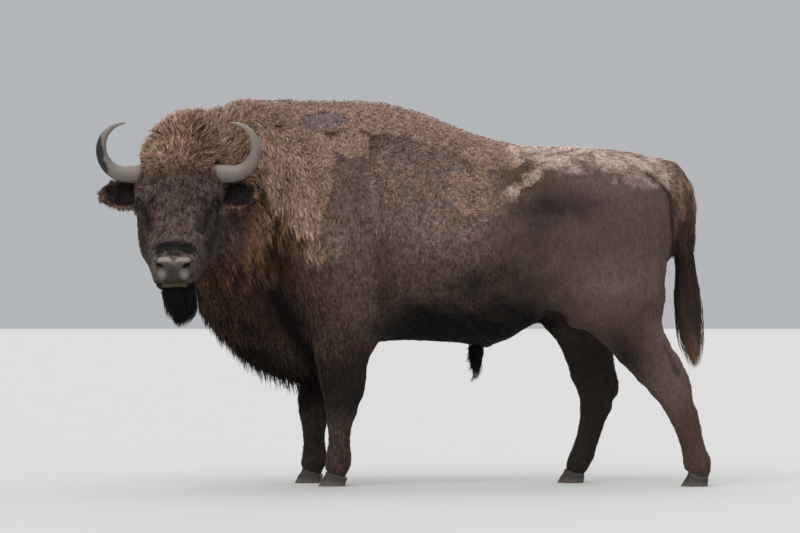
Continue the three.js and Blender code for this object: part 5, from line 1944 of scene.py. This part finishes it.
@dataclass
class Fringe:
    """Long locks that hang free from the underside of the neck.

    Attributes:
        coat: The coat that it belongs to.
        material: Its finish.
        strands: Number of locks.
        length: Middle length of a lock.
        width: Middle width of a lock.
        rings: Steps along a lock.
    """

    coat: Coat
    material: Material
    strands: int = 2600
    length: float = 0.070
    width: float = 0.0050
    rings: int = 5

    SEED, BLUNT, WANDER = 23, 0.4, 0.10
    FIRST, HEADING = np.array((0.30, 0.0, -0.85)), np.array((0.22, 0.0, -1.0))
    SPAN_X, SPAN_Z, HALF_KEEL = (-0.93, -0.30), (0.40, 0.95), 0.13

    def build(self) -> Object:
        """Hangs the fringe from the keel of the neck and brisket."""
        rng = np.random.default_rng(self.SEED)
        surface = self.coat.surface
        middle = self.coat.survey.middle
        centres = surface.points[surface.triangles].mean(axis=1)
        x, y, z = centres.T
        off_middle = np.abs(y - middle - 0.15 * (x + 0.75) * (x < -0.75))
        keel = (off_middle < self.HALF_KEEL) & (surface.face_normals[:, 2] < 0.15)
        keel &= (x > self.SPAN_X[0]) & (x < self.SPAN_X[1]) & (z > self.SPAN_Z[0]) & (z < self.SPAN_Z[1])
        chosen = np.flatnonzero(keel)
        roots = self.coat.roots(chosen)
        keep = np.sort(rng.choice(len(roots.points), min(self.strands, len(roots.points)), replace=False))
        points, normals, patches = roots.points[keep], roots.normals[keep], roots.patches[keep]
        count = len(points)
        length = self.length * (0.5 + rng.random(count)) * smooth(points[:, 0], -0.28, -0.45)
        way = unit(normals * 0.5 + self.FIRST)
        spot = points - normals * 0.004
        spines, ups = [spot], [normals]
        for _ in range(self.rings):
            way = unit(way + 0.5 * self.HEADING + rng.normal(0, self.WANDER, (count, 3)))
            spot = spot + way * (length / self.rings)[:, None]
            spines.append(spot)
            ups.append(unit(normals - way * np.sum(way * normals, axis=1, keepdims=True)))
        width = self.width * (0.6 + 0.8 * rng.random(count))
        locks = Locks(self.rings)
        mesh = locks.mesh("coat_fringe", np.stack(spines, 1), np.stack(ups, 1), width, patches, self.BLUNT)
        marks = Markings().at(self.coat.survey.of(points))
        locks.keep_each(mesh, {**marks, "chance": rng.random(count)})
        return dressed(object_of("coat_fringe", mesh), self.material)


# ---- horns and hooves


@dataclass(frozen=True)
class Horn:
    """One horn, out from the head and then round in half a circle, up and in.

    Attributes:
        hand: 1 for the left horn and -1 for the right one.
        head: The head's axes.
        root: How far out it starts.
        stub: How far out its straight part ends.
        bow: Radius of its half circle.
        base: Its thickness at the root, as a radius.
        back: How far it starts behind the head's origin.
        forward: How far its tip comes forward of its root.
        up: How far it starts above the head's origin.
        power: How late it thins, later where it is higher.
        steps: Rings along it.
        sides: Sides of a ring.
    """

    hand: int
    head: Head
    root: float = 0.120
    stub: float = 0.231
    bow: float = 0.113
    base: float = 0.044
    back: float = 0.040
    forward: float = 0.046
    up: float = 0.001
    power: float = 1.25
    steps: int = 96
    sides: int = 36

    # The growth rings near the root: their height as a share of the radius, and their number times two pi.
    RIDGE, RIDGE_TURNS = 0.012, 150
    # The dark patch: its middle and reach along the horn, and its strength on the left horn.
    PATCH_AT, PATCH_REACH, LEFT_PATCH = 0.57, 0.24, 0.35

    def facing(self) -> Array:
        """The level direction that the head faces."""
        return np.array((self.head.axes[0][1], -self.head.axes[0][0], 0.0))

    def centre(self, t: float) -> Array:
        """The middle of the horn, from its root at 0 to its tip at 1."""
        straight = self.stub - self.root
        along = t * (straight + math.pi * self.bow)
        turn = max(along - straight, 0.0) / self.bow
        out = self.root + min(along, straight) + self.bow * math.sin(turn)
        rise = self.up + self.bow * (1 - math.cos(turn))
        ahead = self.forward * math.sin(turn / 2) ** 2 - self.back
        return self.head.origin + self.hand * out * self.head.axes[0] + ahead * self.facing() + rise * UP

    def frame_at(self, t: float) -> Matrix:
        """The place, turn and size of a ring of the horn."""
        ahead = unit(self.centre(min(t + 0.002, 1.0)) - self.centre(max(t - 0.002, 0.0)))
        across = unit(np.cross(self.facing(), ahead))
        upright = np.cross(ahead, across)
        radius = self.base * (1 - 0.96 * t**self.power) ** 0.85
        radius *= 1 + self.RIDGE * math.sin(t * self.RIDGE_TURNS) * max(1 - 3 * t, 0)
        turn = Matrix(np.column_stack([across, upright, ahead])).to_4x4()
        return Matrix.Translation(self.centre(t)) @ turn @ Matrix.Scale(radius, 4)

    def build(self, material: Material) -> Object:
        """Sweeps a ring along the horn."""
        work = bmesh.new()
        shares = work.verts.layers.float.new("along")
        weather = work.verts.layers.float.new("weather")
        before = self.frame_at(0.0)
        bmesh.ops.create_circle(work, cap_ends=True, segments=self.sides, radius=1.0, matrix=before)
        edges = list(work.edges)
        for step in range(1, self.steps + 1):
            t = step / self.steps
            made = bmesh.ops.extrude_edge_only(work, edges=edges)["geom"]
            ring = [g for g in made if isinstance(g, BMVert)]
            edges = [g for g in made if isinstance(g, BMEdge)]
            after = self.frame_at(t)
            bmesh.ops.transform(work, matrix=after @ before.inverted(), verts=ring)
            for vertex in ring:
                vertex[shares] = t
            before = after
        bmesh.ops.holes_fill(work, edges=edges)
        for vertex in work.verts:
            t = vertex[shares]
            rel = np.array(vertex.co) - self.centre(t)
            out = float(rel @ self.head.axes[0]) * self.hand / max(np.linalg.norm(rel), 1e-6)
            patch = float(bump_of(np.array(t - self.PATCH_AT), self.PATCH_REACH)) * (0.70 + 0.40 * out)
            vertex[weather] = patch * (1.0 if self.hand < 0 else self.LEFT_PATCH)
        bmesh.ops.recalc_face_normals(work, faces=work.faces)
        name = "horn_left" if self.hand > 0 else "horn_right"
        mesh = taken(work, name + "_sheath")
        mesh.shade_smooth()
        piece = dressed(object_of(name + "_sheath", mesh), material)
        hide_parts(name)
        return piece


@dataclass(frozen=True)
class Hooves:
    """The eight toes, each rounded from its faceted solid with its sole kept flat.

    Attributes:
        frame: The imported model.
        cuts: How often each edge is cut.
        rounds: Rounds of smoothing.
    """

    frame: dict
    cuts: int = 3
    rounds: int = 6

    def build(self, material: Material) -> None:
        """Rounds and dresses every toe."""
        for name in sorted(self.frame["nodes"]):
            if "hoof" not in name:
                continue
            work = bmesh.new()
            work.from_mesh(self.frame["nodes"][name].data)
            bmesh.ops.remove_doubles(work, verts=work.verts, dist=WELD)
            bmesh.ops.subdivide_edges(work, edges=work.edges, cuts=self.cuts, use_grid_fill=True)
            free = [v for v in work.verts if 1e-4 < v.co.z]
            eased(work, free, self.rounds)
            mesh = taken(work, name + "_wall")
            mesh.shade_smooth()
            piece = dressed(object_of(name + "_wall", mesh), material)
            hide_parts(name)


# ---- studio


@dataclass(frozen=True)
class Studio:
    """A plain pale floor, soft light and the camera.

    Attributes:
        eye: The camera's place.
        focal: The lens in millimetres, on a sensor 36 mm wide.
        backdrop: The floor's colour.
    """

    eye: tuple[float, float, float] = (-0.01986, -23.852, 0.980)
    focal: float = 240.0
    backdrop: tuple = linear(184, 184, 182)

    # The sensor's width in millimetres, how far the camera sees, and the floor's size.
    SENSOR, REACH, FLOOR = 36.0, 200.0, 60.0
    SKY, SKY_POWER = linear(225, 228, 232), 0.60
    # A lamp: its name, the direction towards it, its spread in degrees, its power and its colour.
    LAMPS = (
        ("key", (-0.35, -0.75, 0.95), 50.0, 1.6, (1.0, 0.98, 0.95)),
        ("overhead", (0.05, 0.2, 1.0), 90.0, 1.4, (0.96, 0.98, 1.0)),
        ("rim", (0.35, 1.0, 0.75), 60.0, 0.9, (1.0, 0.99, 0.96)),
    )

    def build(self) -> None:
        """Sets up the floor, the lights, the world and the camera."""
        scene = bpy.context.scene
        scene.view_settings.view_transform = "Standard"
        work = bmesh.new()
        bmesh.ops.create_grid(work, x_segments=1, y_segments=1, size=self.FLOOR)
        mesh = taken(work, "floor")
        floor = object_of("floor", mesh)
        mesh.materials.append(flat_finish("floor_paint", self.backdrop, 0.9))
        world = bpy.data.worlds.new("studio")
        scene.world = world
        world.use_nodes = True
        sky = world.node_tree.nodes["Background"].inputs
        sky["Color"].default_value = (*self.SKY, 1.0)
        sky["Strength"].default_value = self.SKY_POWER
        for lamp in self.LAMPS:
            self._lamp(*lamp)
        lens = bpy.data.cameras.new("camera")
        lens.lens = self.focal
        lens.sensor_width = self.SENSOR
        lens.clip_end = self.REACH
        camera = bpy.data.objects.new("camera", lens)
        camera.location = self.eye
        camera.rotation_euler = (math.radians(90), 0.0, 0.0)
        scene.collection.objects.link(camera)
        scene.camera = camera

    def _lamp(self, name: str, towards: tuple, spread: float, power: float, colour: tuple) -> None:
        """Adds a broad soft light from far off, by the direction towards it."""
        light = bpy.data.lights.new(name, "SUN")
        light.angle = math.radians(spread)
        light.energy = power
        light.color = colour
        lamp = bpy.data.objects.new(name, light)
        lamp.rotation_euler = Vector(towards).to_track_quat("Z", "Y").to_euler()
        bpy.context.scene.collection.objects.link(lamp)


# ---- the whole


def build(frame: dict) -> None:
    """Makes every piece of the animal, and the studio round it."""
    head = Head.from_eyes(middle_of("eye_left"), middle_of("eye_right"))
    survey = Survey(float(middle_of("tail_switch")[1]), head)
    pelt = Pelt()
    plan = CoatPlan()
    hair = pelt.coat()

    skin = Skin(frame, survey, plan).build()
    dressed(skin, pelt.hide())
    for hand, side in ((1, "left"), (-1, "right")):
        Horn(hand, head).build(HornFinish().material())
        ball = object_of("eyeball_" + side, EyeShape().ball(head, hand))
        dressed(ball, EyeFinish().material())
        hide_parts("eye_" + side)
    Hooves(frame).build(HoofFinish().material())

    coat = Coat(frame, survey, skin, plan, hair)
    coat.build()
    Fringe(coat, hair).build()
    dark, tan = {"black": 1.0}, {"black": 0.15, "ginger": 0.35, "wool": 0.25}
    dusky, tuft = {"black": 0.66, "mauve": 0.6}, {"umber": 1.0, "black": 0.3}
    hanks = (
        Hank("beard_locks", "beard", 1700, 0.0050, 5, 31, dark, dark, ragged=0.42, bib=0.012),
        Hank("switch_locks", "tail_switch", 1800, 0.0052, 7, 32, dusky, tan, "tail_dock"),
        Hank("sheath_locks", "sheath_tuft", 190, 0.0050, 6, 33, dark, tuft, ragged=0.75),
    )
    for hank in hanks:
        hank.build(frame, hair)
    Studio().build()


def main() -> None:
    """Builds the scene."""
    logging.basicConfig(level=logging.INFO, format="%(message)s")
    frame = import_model()
    build(frame)


if __name__ == "__main__":
    main()
